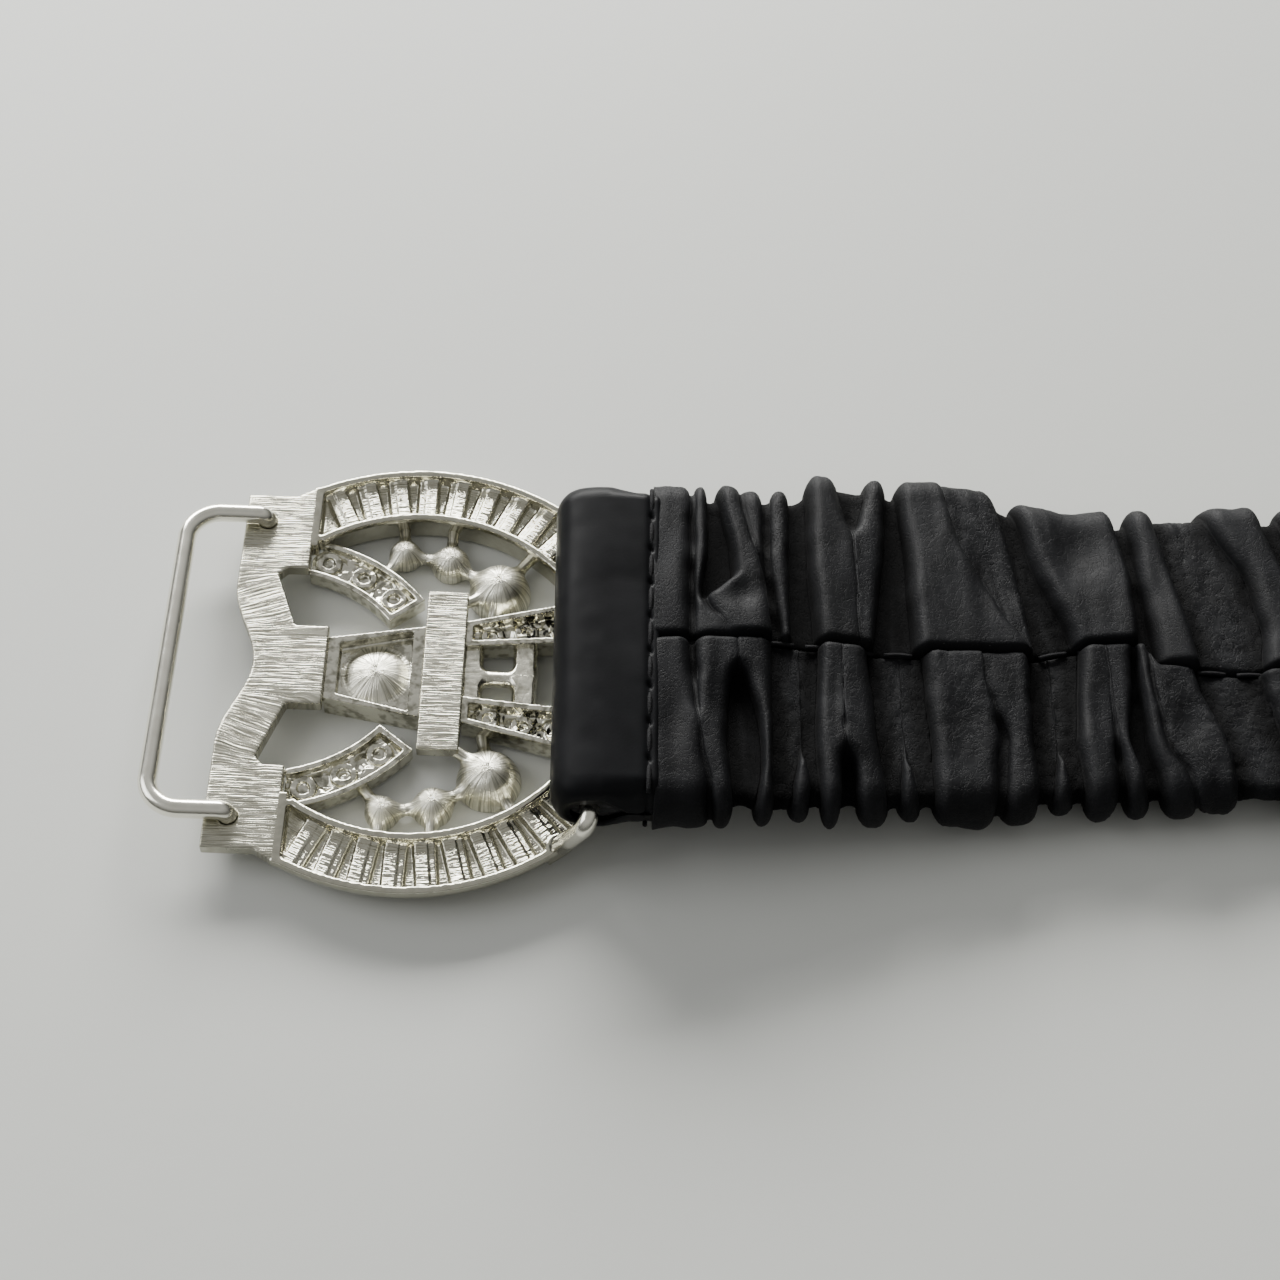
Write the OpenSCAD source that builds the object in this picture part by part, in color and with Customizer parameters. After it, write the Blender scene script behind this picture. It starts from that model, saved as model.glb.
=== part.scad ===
// Openwork stone-set belt buckle, lying on its front, with the gathered elastic strap that is
// sewn round its right-hand bail.
// The origin is under the centre of the stone ring, on the surface the buckle lies on.
// +X runs towards the strap, +Y across the strap, and +Z out of the buckle's back.

/* [Buckle body] */
// Outer radius of the stone ring
ring_r = 23; // [22.9:0.05:23.1]
// Radial width of the stone ring, both walls included
ring_band = 5.95; // [5.8:0.05:6.1]
// Thickness of the buckle, from its front rim to its back plane
buckle_t = 3.2; // [3.1:0.1:3.5]
// Thickness of the side plate
plate_t = 1.3; // [1.2:0.1:1.6]
// Thickness of the setting walls
wall = 0.6; // [0.5:0.05:0.7]
// Depth of the back recess behind the ring stones
recess = 1.3; // [1.1:0.1:1.4]

/* [Stones] */
// Baguette stones between the two ends of the ring
ring_stone_count = 30; // [26:2:32]
// Thickness of the baguette stones
baguette_t = 1.0; // [0.8:0.1:1.1]
// Radius of the round stones in the two arcs
arc_stone_r = 1.35; // [1.1:0.05:1.4]
// Side of the square stones in the two rows
row_stone_w = 1.9; // [1.5:0.1:2.0]

/* [Bails] */
// Diameter of the bail wire
wire_d = 1.7; // [1.5:0.1:1.8]
// Distance from the ring centre to the free bail's bar
left_bail_x = 22.4; // [22.2:0.1:23.5]
// Distance between the leg axes of the free bail
left_bail_w = 32.1; // [31:0.1:33]
// Height of the strap bail's bar above the buckle's back
right_bail_rise = 4.1; // [4.1:0.1:4.6]
// Distance between the leg axes of the strap bail
right_bail_w = 35.8; // [35.6:0.1:36]

/* [Strap] */
// Width of the smooth tab that is folded round the bail
tab_w = 33.4; // [32:0.1:33.4]
// Thickness of the tab leather
leather_t = 1.2; // [1:0.1:1.4]
// Width of the gathered sleeve
sleeve_w = 35.6; // [34:0.2:37]
// Width of the elastic band
elastic_w = 30; // [26:1:32]
// Thickness of the elastic band
elastic_t = 1.8; // [1.5:0.1:2]
// Length of the gathered sleeve
sleeve_l = 64; // [60:1:80]
// Length of the smooth end tab
end_tab_l = 6; // [5:0.5:10]

/* [Hidden] */
$fn = 64;

silver = "gainsboro";
crystal = "lightcyan";
black_leather = "#2a2a2c";
black_thread = "#1b1b1d";
black_elastic = "#303034";

// Heights
far = 60;                           // longer than anything a cutting block has to pass
ring_in_r = ring_r - ring_band;
outer_lip = ring_r - wall - 0.1;    // the inside of the ring's outer wall
inner_lip = ring_in_r + wall + 0.1;
floor_z = buckle_t - recess;        // the top of the ring's stone floor
front_floor_z = baguette_t + 0.3;   // its underside, where the stones sit
arc_z = buckle_t - 0.85;
square_z = buckle_t - 0.5;
row_z = buckle_t - 0.2;
setting_floor_t = 0.45;
ring_half_deg = 118.5;              // the stones reach this far round from the strap side
setting_front_z = 0.6;              // the inner settings stand clear of the surface
bar_t = 1.3;
stone_table_z = 0.3;                // the stones' flat faces, seen from the front
rim_inset = 1.8;                    // the ring's rounded side comes in this far at the front
rim_wall = 0.5;
stone_outer_r = ring_r - rim_inset - rim_wall;
square_floor_z = square_z - 1.1;
row_floor_z = row_z - 1.3;
stone_gap = 0.05;

// Side plate
plate_x = -17.3;
plate_waist_x = -14.85;
plate_half_h = 19.18;
plate_joint_x = -10.8;              // where the plate meets the ring's ends
plate_curve_y = 8.5;
tongue_x = -8.2;
tongue_half_h = 4.25;

// Arc settings
arc_c = [-13.8, 3.1];
arc_in_r = 14.05;
arc_out_r = 18.1;
arc_end_deg = 38.5;
arc_start_deg = 82;
arc_stone_step = 13.5;

// Square setting and centre bar
square_x = [tongue_x, 0.7];
square_half_h = [3.35, 4.95];
dome_r = 5.0;
dome_rise = 0.95;
dome_x = -3.6;
bar_x = [0.7, 4.5];
bar_half_h = 8.6;

// Row settings: inner and outer edges at the bar, and how fast they widen
row_inner_y = 2.75;
row_outer_y = 5.5;
row_inner_slope = 0.09;
row_outer_slope = 0.26;
row_stone_x = [6.9, 10.1, 13.3];

// Cups of each cluster: x, y, radius and the height of the crown
cups = [
    [7.3, 10.3, 2.95, buckle_t + 0.1],
    [2.45, 13.3, 1.85, buckle_t - 1.0],
    [-2.0, 14.1, 1.55, buckle_t - 1.2]
];
cup_front_z = 0.15;
neck_r = 0.75;
neck_z = 1.2;
bar_link_z = [buckle_t - 1.4, buckle_t - 0.6];
bead_share = 0.8;                   // a bead's radius over its cup's

// Bails
wire_r = wire_d / 2;
left_bail_z = buckle_t + 1.0;
left_bend = 3;
left_elbow = 0.9;
left_foot_x = -15.2;
left_foot_depth = 0.9;
right_foot_x = 14.0;
right_bar_x = 16.35;
right_bend = 1.15;
bar_z = buckle_t + right_bail_rise;
right_lean = atan2(right_bar_x - right_foot_x, right_bail_rise);
right_leg = norm([right_bar_x - right_foot_x, right_bail_rise]);
running_gap = 0.1;

// Strap: positions along X, and the side profile
fold_r = 3.45;
tab_end_x = 22;
tab_stitch_x = 21.3;
sleeve_end_x = tab_end_x + sleeve_l;
end_tab_x = sleeve_end_x + 0.3;
strap_end_x = end_tab_x + end_tab_l;
settle_l = 38;                      // the length over which the strap comes down to the surface
high_bottom = bar_z - fold_r;
high_top = bar_z + fold_r;
low_top = 6.8;
drift_slope = 0.135;                // the strap lies slightly askew to the buckle
drift_curve = 0.0009;
profile_steps = 22;
stitch_pitch = 3.7;
stitch_l = 2.9;
stitch_r = 0.3;
seam_w = 1.2;
seam_depth = 1.0;

function ease(u) = (1 + cos(180 * min(max(u, 0), 1))) / 2;
function settled(x) = ease((x - tab_end_x) / settle_l);
function strap_bottom(x) = high_bottom * settled(x);
function strap_top(x) = low_top + (high_top - low_top) * settled(x);
function strap_mid(x) = (strap_top(x) + strap_bottom(x)) / 2;
function drift(x) = let (u = max(x - tab_end_x, 0)) drift_slope * u - drift_curve * u * u;
function drift_deg(x) = let (u = max(x - tab_end_x, 0)) atan(drift_slope - 2 * drift_curve * u);
function steps(from, to) = [for (i = [0 : profile_steps]) from + (to - from) * i / profile_steps];
function back_to_front(list) = [for (i = [len(list) - 1 : -1 : 0]) list[i]];
function plate_edge_x(y) =
    let (u = min(abs(y) / plate_curve_y, 1))
    (plate_x + plate_waist_x) / 2 + (plate_waist_x - plate_x) / 2 * cos(180 * u);

// ---- Shared shapes ----

module upper_and_lower() {
    children();
    mirror([0, 1, 0]) children();
}

module inside_ring(h = buckle_t) {
    cylinder(h = h, r = ring_in_r);
}

module slab(x_range, y_range, z_range) {
    translate([x_range[0], y_range[0], z_range[0]])
        cube([x_range[1] - x_range[0], y_range[1] - y_range[0], z_range[1] - z_range[0]]);
}

// A wire or stitch between two points
module rod(a, b, r) {
    d = b - a;
    translate(a)
        rotate([0, acos(d[2] / norm(d)), atan2(d[1], d[0])])
            cylinder(h = norm(d), r = r);
}

// A quarter bend in the XY plane, from the +X axis to the +Y axis
module quarter_bend(bend_r, r) {
    rotate_extrude(angle = 90)
        translate([bend_r, 0])
            circle(r = r);
}

// ---- Buckle ----

module plate_outline() {
    left_edge = [for (y = steps(-plate_curve_y, plate_curve_y)) [plate_edge_x(y), y]];
    polygon(concat(left_edge, [
        [plate_x, plate_half_h], [plate_joint_x, plate_half_h + 2], [plate_joint_x, 10.7],
        [-12.8, 10.7], [-13.5, 9.9], [-11.4, tongue_half_h], [tongue_x, tongue_half_h],
        [tongue_x, -tongue_half_h], [-11.4, -tongue_half_h], [-13.5, -9.9],
        [-12.8, -10.7], [plate_joint_x, -10.7], [plate_joint_x, -plate_half_h - 2],
        [plate_x, -plate_half_h]
    ]));
}

module side_plate() {
    color(silver)
        difference() {
            translate([0, 0, buckle_t - plate_t])
                linear_extrude(plate_t)
                    intersection() {
                        plate_outline();
                        union() {
                            circle(r = ring_r);
                            translate([plate_x - 1, -plate_half_h])
                                square([plate_joint_x - plate_x, 2 * plate_half_h]);
                        }
                    }
            upper_and_lower()
                translate([left_foot_x, left_bail_w / 2, buckle_t - left_foot_depth])
                    cylinder(h = plate_t, r = wire_r + 0.02);
        }
}

module ring_section() {
    shoulder = [for (i = [0 : 6]) [ring_r - rim_inset * pow(1 - i / 6, 1.6), 0.4 * i]];
    polygon(concat(
        [[inner_lip - 0.15, 0], [inner_lip - 0.15, front_floor_z],
         [stone_outer_r, front_floor_z], [stone_outer_r, 0]],
        shoulder,
        [[ring_r, buckle_t], [outer_lip, buckle_t], [outer_lip, floor_z],
         [inner_lip, floor_z], [inner_lip, buckle_t],
         [ring_in_r, buckle_t], [ring_in_r, 0.5], [ring_in_r + 0.3, 0]]
    ));
}

// Bare floor spans the two lips; every seat stands on it as one broad and one narrow rib
module seat_ribs() {
    step = 2 * ring_half_deg / ring_stone_count;
    for (i = [0 : ring_stone_count - 1])
        rotate(-ring_half_deg + (i + 0.5) * step) {
            slab([inner_lip - 0.1, outer_lip + 0.1], [-1.05, 0.1], [floor_z - 0.1, floor_z + 0.6]);
            slab([inner_lip - 0.1, outer_lip + 0.1], [0.35, 0.8], [floor_z - 0.1, floor_z + 0.4]);
        }
}

module ring_channel() {
    color(silver)
        intersection() {
            union() {
                rotate_extrude(angle = 250, start = -125)
                    ring_section();
                seat_ribs();
                slab([plate_joint_x, plate_joint_x + wall], [-19.6, -13.4], [front_floor_z, buckle_t]);
                slab([plate_joint_x, plate_joint_x + wall], [13.4, 19.6], [front_floor_z, buckle_t]);
                upper_and_lower()
                    translate([right_foot_x, right_bail_w / 2, front_floor_z])
                        cylinder(h = buckle_t - front_floor_z, r = wire_r + 0.5);
            }
            slab([plate_joint_x, far], [-far, far], [0, buckle_t]);
            cylinder(h = buckle_t, r = ring_r);
        }
}

module baguette() {
    half_w = 1.22;
    inner_r = inner_lip - 0.15 + stone_gap;
    outer_r = stone_outer_r - stone_gap;
    rotate([90, 0, 90])
        translate([0, 0, inner_r])
            linear_extrude(outer_r - inner_r)
                polygon([
                    [-half_w, front_floor_z], [half_w, front_floor_z],
                    [half_w, front_floor_z - 0.5], [half_w - 0.5, front_floor_z - baguette_t],
                    [-half_w + 0.5, front_floor_z - baguette_t], [-half_w, front_floor_z - 0.5]
                ]);
}

module ring_stones() {
    // the stones narrow towards the ring's centre, so neighbours never meet
    step = 2 * ring_half_deg / ring_stone_count;
    stone_scale = min(step * ring_in_r * PI / 180 / 2.6, 1);
    color(crystal)
        for (i = [0 : ring_stone_count - 1])
            rotate(-ring_half_deg + (i + 0.5) * step)
                intersection() {
                    baguette();
                    slab([0, far], [-1.22 * stone_scale, 1.22 * stone_scale], [0, buckle_t]);
                }
}

module arc_section() {
    polygon([
        [arc_in_r, setting_front_z], [arc_in_r + wall, setting_front_z],
        [arc_in_r + wall, arc_z - 0.9 - setting_floor_t], [arc_out_r - wall, arc_z - 0.9 - setting_floor_t],
        [arc_out_r - wall, setting_front_z], [arc_out_r, setting_front_z],
        [arc_out_r, arc_z], [arc_out_r - wall, arc_z],
        [arc_out_r - wall, arc_z - 0.9], [arc_in_r + wall, arc_z - 0.9],
        [arc_in_r + wall, arc_z], [arc_in_r, arc_z]
    ]);
}

// Places its children at each stone of the upper arc
module at_arc_stones() {
    translate([arc_c[0], -arc_c[1], 0])
        for (i = [0 : 2])
            rotate(arc_end_deg + 7.5 + i * arc_stone_step)
                translate([(arc_in_r + arc_out_r) / 2, 0, 0])
                    children();
}

module arc_setting() {
    color(silver)
        intersection() {
            union() {
                translate([arc_c[0], -arc_c[1], 0]) {
                    rotate_extrude(angle = arc_start_deg - arc_end_deg, start = arc_end_deg)
                        arc_section();
                    rotate(arc_end_deg)
                        slab([arc_in_r, arc_out_r], [0, wall], [setting_front_z, arc_z]);
                }
                at_arc_stones()
                    translate([0, 0, arc_z - 1])
                        difference() {
                            cylinder(h = 0.55, r = 1.2);
                            cylinder(h = 1, r = 0.6);
                        }
            }
            slab([plate_joint_x, far], [0, far], [0, buckle_t]);
            inside_ring();
        }
}

module upper_arc_setting() {
    arc_setting();
}

module lower_arc_setting() {
    mirror([0, 1, 0]) arc_setting();
}

// A round stone: girdle, crown and flat table, facing down
module round_stone(r, top_z, h) {
    translate([0, 0, top_z - h]) {
        cylinder(h = h * 0.45, r1 = r * 0.6, r2 = r);
        translate([0, 0, h * 0.45])
            cylinder(h = h * 0.55, r = r);
    }
}

module arc_stones() {
    arc_stone_top = arc_z - 0.9 - setting_floor_t;
    color(crystal)
        upper_and_lower()
            at_arc_stones()
                round_stone(arc_stone_r, arc_stone_top, arc_stone_top - stone_table_z);
}

module square_outline(inset) {
    polygon([
        [square_x[0] + inset + 0.5 * sign(inset), -square_half_h[0] + inset],
        [square_x[1] - inset - 0.5 * sign(inset), -square_half_h[1] + inset],
        [square_x[1] - inset - 0.5 * sign(inset), square_half_h[1] - inset],
        [square_x[0] + inset + 0.5 * sign(inset), square_half_h[0] - inset]
    ]);
}

module square_setting() {
    color(silver) {
        difference() {
            linear_extrude(square_z)
                square_outline(0);
            translate([0, 0, square_floor_z])
                linear_extrude(square_z)
                    square_outline(wall);
            translate([0, 0, -1])
                linear_extrude(1 + square_floor_z - setting_floor_t)
                    square_outline(wall + 0.2);
        }
        intersection() {
            translate([dome_x, 0, square_floor_z + dome_rise - dome_r])
                sphere(r = dome_r);
            slab([-far, far], [-far, far], [square_floor_z - 0.2, buckle_t]);
        }
    }
}

// The front stone of the square setting, with a bevelled edge
module centre_stone() {
    stone_top = square_floor_z - setting_floor_t;
    color(crystal)
        translate([0, 0, stone_table_z])
            difference() {
                linear_extrude(stone_top - stone_table_z)
                    square_outline(wall + 0.25);
                for (side = [-1, 1])
                    translate([0, side * 4.6, -0.6])
                        rotate([45, 0, 0])
                            cube([30, 2, 2], center = true);
            }
}

module centre_bar() {
    color(silver)
        slab(bar_x, [-bar_half_h, bar_half_h], [buckle_t - bar_t, buckle_t]);
}

// The plan of the upper row, drawn in by inset on all sides but the ring's
module row_outline(inset) {
    function inner(x) = row_inner_y + row_inner_slope * (x - bar_x[1]) + inset;
    function outer(x) = row_outer_y + row_outer_slope * (x - bar_x[1]) - inset;
    from = bar_x[1] + inset;
    to = ring_r;
    intersection() {
        polygon([[from, inner(from)], [to, inner(to)], [to, outer(to)], [from, outer(from)]]);
        circle(r = ring_in_r - inset);
    }
}

module row_setting() {
    color(silver) {
        difference() {
            translate([0, 0, setting_front_z])
                linear_extrude(row_z - setting_front_z)
                    row_outline(0);
            translate([0, 0, row_floor_z])
                linear_extrude(buckle_t)
                    row_outline(wall);
            linear_extrude(row_floor_z - setting_floor_t)
                row_outline(wall);
        }
        for (x = row_stone_x)
            translate([x, row_mid_y(x), row_floor_z - 0.1])
                difference() {
                    cylinder(h = 0.6, r = 1.05);
                    cylinder(h = 1, r = 0.5);
                }
    }
}

function row_mid_y(x) =
    (row_inner_y + row_outer_y + (row_inner_slope + row_outer_slope) * (x - bar_x[1])) / 2;

module upper_row_setting() {
    row_setting();
}

module lower_row_setting() {
    mirror([0, 1, 0]) row_setting();
}

module row_stones() {
    stone_h = row_floor_z - setting_floor_t - stone_table_z;
    color(crystal)
        upper_and_lower()
            for (x = row_stone_x)
                translate([x, row_mid_y(x), row_floor_z - setting_floor_t - stone_h / 2])
                    rotate(10)
                        cube([row_stone_w, row_stone_w - 0.5, stone_h], center = true);
}

// Two stubs and a link that join the rows, the bar and the ring
module row_bridge() {
    z_range = [0.8, buckle_t - 0.7];
    color(silver)
        difference() {
            intersection() {
                union() {
                    slab([bar_x[1], 7.1], [-1.55, 1.55], z_range);
                    slab([7, ring_r], [-0.6, 0.6], z_range);
                    slab([9.9, 12.4], [-4, 4], z_range);
                }
                inside_ring();
            }
            upper_and_lower()
                translate([0, 0, -1])
                    linear_extrude(buckle_t + 2)
                        row_outline(0);
        }
}

module cup(x, y, r, crown_z) {
    translate([x, y, 0]) {
        translate([0, 0, cup_front_z])
            cylinder(h = crown_z - r - cup_front_z, r = r);
        intersection() {
            translate([0, 0, crown_z - r])
                sphere(r = r);
            slab([-far, far], [-far, far], [crown_z - r - 0.01, far]);
        }
    }
}

function bead_floor(crown_z, r) = min(crown_z - r * 0.75, 1.7);

module cup_cluster() {
    big = cups[0];
    medium = cups[1];
    small = cups[2];
    color(silver)
        difference() {
            intersection() {
                union() {
                    rod([big[0], big[1], neck_z], [medium[0], medium[1], neck_z], neck_r);
                    rod([medium[0], medium[1], neck_z], [small[0], small[1], neck_z], neck_r);
                    rod([big[0], big[1], neck_z], [big[0] * 2, big[1] * 2, neck_z], neck_r);
                    rod([big[0], big[1], neck_z], [big[0] - 1, 5, neck_z], neck_r);
                    rod([medium[0], medium[1], neck_z], [medium[0], 20, neck_z], neck_r);
                    rod([small[0], small[1], neck_z], [small[0] - 0.5, 20, neck_z], neck_r);
                    rod([small[0], small[1], neck_z], [small[0] - 2.5, 11, neck_z], neck_r);
                    slab([bar_x[1] - 1, big[0] - 0.6], [bar_half_h - 0.9, bar_half_h - 0.1], bar_link_z);
                    for (c = cups)
                        cup(c[0], c[1], c[2], c[3]);
                }
                inside_ring();
            }
            for (c = cups)
                translate([c[0], c[1], -1])
                    cylinder(h = 1 + bead_floor(c[3], c[2]), r = c[2] * bead_share);
            translate([0, 0, -1])
                linear_extrude(buckle_t + 2)
                    row_outline(0);
            translate([arc_c[0], -arc_c[1], -1])
                cylinder(h = buckle_t + 2, r = arc_out_r);
            slab([-far, bar_x[1]], [-bar_half_h, bar_half_h], [-1, buckle_t + 1]);
        }
}

module upper_cup_cluster() {
    cup_cluster();
}

module lower_cup_cluster() {
    mirror([0, 1, 0]) cup_cluster();
}

// The domed stones that fill the cups from the front
module beads(list) {
    color(crystal)
        upper_and_lower()
            for (c = list)
                translate([c[0], c[1], 0])
                    round_stone(
                        c[2] * bead_share - stone_gap,
                        bead_floor(c[3], c[2]) - stone_gap,
                        bead_floor(c[3], c[2]) - stone_gap - 0.2
                    );
}

module large_beads() {
    beads([cups[0]]);
}

module small_beads() {
    beads([cups[1], cups[2]]);
}

// The free bail: a bar, two bends, two legs, and feet turned down into the plate
module left_bail() {
    half = left_bail_w / 2;
    color(silver)
        upper_and_lower() {
            rod([-left_bail_x, 0, left_bail_z], [-left_bail_x, half - left_bend, left_bail_z], wire_r);
            translate([-left_bail_x + left_bend, half - left_bend, left_bail_z])
                rotate(90)
                    quarter_bend(left_bend, wire_r);
            rod([-left_bail_x + left_bend, half, left_bail_z],
                [left_foot_x - left_elbow, half, left_bail_z], wire_r);
            translate([left_foot_x - left_elbow, half, left_bail_z - left_elbow])
                rotate([90, 0, 0])
                    quarter_bend(left_elbow, wire_r);
            translate([left_foot_x, half, buckle_t - left_foot_depth])
                cylinder(h = left_bail_z - left_elbow - buckle_t + left_foot_depth, r = wire_r);
        }
}

// The strap bail: drawn flat in the YZ plane, then leant towards the strap
module right_bail() {
    half = right_bail_w / 2;
    color(silver)
        difference() {
            translate([right_foot_x, 0, buckle_t])
                rotate([0, right_lean, 0])
                    upper_and_lower() {
                        rod([0, 0, right_leg], [0, half - right_bend, right_leg], wire_r);
                        translate([0, half - right_bend, right_leg - right_bend])
                            rotate([90, 0, 90])
                                quarter_bend(right_bend, wire_r);
                        rod([0, half, -1], [0, half, right_leg - right_bend], wire_r);
                    }
            slab([-far, far], [-far, far], [-far, buckle_t]);
        }
}

// ---- Strap ----

// The side profile of the folded tab, drawn in by inset
module tab_profile(inset) {
    translate([right_bar_x, bar_z])
        circle(r = fold_r - inset);
    translate([right_bar_x, bar_z - fold_r + inset])
        square([tab_end_x - right_bar_x, 2 * (fold_r - inset)]);
}

// Stands a side profile up along the strap, w wide
module across(w) {
    rotate([90, 0, 0])
        linear_extrude(w, center = true)
            children();
}

module tab_leather() {
    color(black_leather)
        difference() {
            across(tab_w)
                tab_profile(0);
            across(tab_w + 1)
                tab_profile(leather_t);
        }
}

// The folded end of the elastic band, with the bail's bar running through it
module elastic_loop() {
    color(black_elastic)
        difference() {
            across(tab_w - 1)
                tab_profile(leather_t + 0.02);
            translate([right_bar_x, 0, bar_z])
                rotate([90, 0, 0])
                    cylinder(h = far, r = wire_r + running_gap, center = true);
        }
}

// Stitches across the tab, on both faces
module tab_stitches() {
    count = floor(tab_w / stitch_pitch);
    color(black_thread)
        for (i = [0 : count - 1], side = [-1, 1]) {
            y = (i - (count - 1) / 2) * stitch_pitch;
            z = bar_z + side * (fold_r + stitch_r);
            rod([tab_stitch_x, y - stitch_l / 2, z], [tab_stitch_x, y + stitch_l / 2, z], stitch_r);
        }
}

// A ribbon of the strap between two stations: plan by side profile
module strap_run(from, to, half_w, above, below) {
    xs = steps(from, to);
    plan = concat(
        [for (x = xs) [x, drift(x) + half_w]],
        [for (x = back_to_front(xs)) [x, drift(x) - half_w]]
    );
    side = concat(
        [for (x = xs) [x, strap_mid(x) + above * (strap_top(x) - strap_mid(x))]],
        [for (x = back_to_front(xs)) [x, strap_mid(x) - below * (strap_mid(x) - strap_bottom(x))]]
    );
    intersection() {
        linear_extrude(far)
            polygon(plan);
        across(far * 2)
            polygon(side);
    }
}

module elastic_core_solid(grow) {
    thickness = 2 * fold_r;
    share = (elastic_t / 2 + grow) / (thickness / 2);
    strap_run(tab_end_x, sleeve_end_x, elastic_w / 2 + grow, share, share);
}

module elastic_core() {
    color(black_elastic)
        elastic_core_solid(0);
}

module ruched_sleeve() {
    color(black_leather)
        difference() {
            strap_run(tab_end_x, sleeve_end_x, sleeve_w / 2, 1, 1);
            elastic_core_solid(0.15);
            difference() {
                strap_run(tab_end_x, sleeve_end_x, seam_w / 2, 2, 0);
                strap_run(tab_end_x, sleeve_end_x, seam_w, 1 - seam_depth / fold_r, 0);
            }
        }
}

// Stitches along the lengthwise seam that divides the gathers into two rows
module seam_stitches() {
    count = floor((sleeve_l - 2) / stitch_pitch);
    color(black_thread)
        for (i = [0 : count - 1]) {
            a = tab_end_x + 1.5 + i * stitch_pitch;
            b = a + stitch_l - 0.4;
            lift = stitch_r - seam_depth + 0.25;
            rod([a, drift(a), strap_top(a) + lift], [b, drift(b), strap_top(b) + lift], stitch_r);
        }
}

module end_tab() {
    thickness = low_top - 1.2;
    color(black_leather)
        translate([end_tab_x, drift(end_tab_x), 0])
            rotate(drift_deg(strap_end_x))
                translate([0, -sleeve_w / 2, 0])
                    cube([end_tab_l, sleeve_w, thickness]);
}

module end_stitches() {
    count = floor((sleeve_w - 2) / stitch_pitch);
    color(black_thread)
        translate([end_tab_x, drift(end_tab_x), low_top - 1.2 + stitch_r])
            rotate(drift_deg(strap_end_x))
                for (i = [0 : count - 1]) {
                    y = (i - (count - 1) / 2) * stitch_pitch;
                    rod([1.4, y - stitch_l / 2, 0], [1.4, y + stitch_l / 2, 0], stitch_r);
                }
}

side_plate();
ring_channel();
ring_stones();
upper_arc_setting();
lower_arc_setting();
arc_stones();
square_setting();
centre_stone();
centre_bar();
upper_row_setting();
lower_row_setting();
row_stones();
row_bridge();
upper_cup_cluster();
lower_cup_cluster();
large_beads();
small_beads();
left_bail();
right_bail();
tab_leather();
elastic_loop();
tab_stitches();
elastic_core();
ruched_sleeve();
seam_stitches();
end_tab();
end_stitches();
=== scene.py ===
import math

import bmesh
import bpy
import numpy as np
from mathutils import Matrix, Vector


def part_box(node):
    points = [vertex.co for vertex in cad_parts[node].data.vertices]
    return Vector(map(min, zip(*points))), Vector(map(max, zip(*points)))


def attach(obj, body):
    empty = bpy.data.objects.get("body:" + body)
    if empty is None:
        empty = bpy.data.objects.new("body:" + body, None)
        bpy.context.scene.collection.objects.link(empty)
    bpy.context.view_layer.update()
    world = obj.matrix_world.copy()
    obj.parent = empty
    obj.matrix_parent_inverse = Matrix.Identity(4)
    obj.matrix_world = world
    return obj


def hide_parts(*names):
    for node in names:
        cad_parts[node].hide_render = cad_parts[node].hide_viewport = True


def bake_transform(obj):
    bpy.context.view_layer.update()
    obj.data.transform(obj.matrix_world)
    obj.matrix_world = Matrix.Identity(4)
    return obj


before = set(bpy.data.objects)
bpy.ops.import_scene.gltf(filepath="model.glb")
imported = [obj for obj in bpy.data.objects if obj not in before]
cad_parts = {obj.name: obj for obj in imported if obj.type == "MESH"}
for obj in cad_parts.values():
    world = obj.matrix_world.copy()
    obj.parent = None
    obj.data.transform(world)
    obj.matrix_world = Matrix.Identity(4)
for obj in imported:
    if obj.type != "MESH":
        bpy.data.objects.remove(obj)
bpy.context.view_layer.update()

import openvdb
from mathutils import Matrix, Vector

# The buckle lies on its front, with its stone ring centred over the origin, and the gathered strap
# runs off along +X. Lengths below are in millimetres unless a name says otherwise.
MM = 0.001
BACK_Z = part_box("side_plate")[1].z / MM      # the buckle's back plane
WIRE_R = 0.85         # radius of both bails' wire
BAR_X, BAR_Z = 16.35, BACK_Z + 4.1     # the middle of the strap bail's bar
STITCH_PITCH = 3.7    # from one stitch to the next, in every line of stitches
FAR = 99              # further than anything on the buckle


def show(thing):
    bpy.context.scene.collection.objects.link(thing)


# ---- Camera and light ----


def make_camera():
    """Looks down on the buckle's back from the near side, as over a table."""
    tilt, roll, yaw = math.radians(33.521), math.radians(5.304), math.radians(-3.708)
    camera = bpy.data.objects.new("camera", bpy.data.cameras.new("camera"))
    camera.data.sensor_width = 36
    camera.data.lens = 58.08
    camera.data.clip_start, camera.data.clip_end = 0.01, 10
    turn = Matrix.Rotation(yaw, 4, "Z") @ Matrix.Rotation(tilt, 4, "X") @ Matrix.Rotation(roll, 4, "Z")
    camera.matrix_world = Matrix.Translation(Vector((13.8, -102.31, 160.81 + BACK_Z)) * MM) @ turn
    show(camera)
    bpy.context.scene.camera = camera


def area_light(name, place, target, size, power, colour):
    """A rectangular lamp. Its place, target and size are in metres."""
    light = bpy.data.lights.new(name, "AREA")
    light.shape = "RECTANGLE"
    light.size, light.size_y = size
    light.energy = power
    light.color = colour
    lamp = bpy.data.objects.new(name, light)
    lamp.location = place
    lamp.rotation_mode = "QUATERNION"
    lamp.rotation_quaternion = (Vector(target) - Vector(place)).to_track_quat("-Z", "Y")
    show(lamp)


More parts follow.
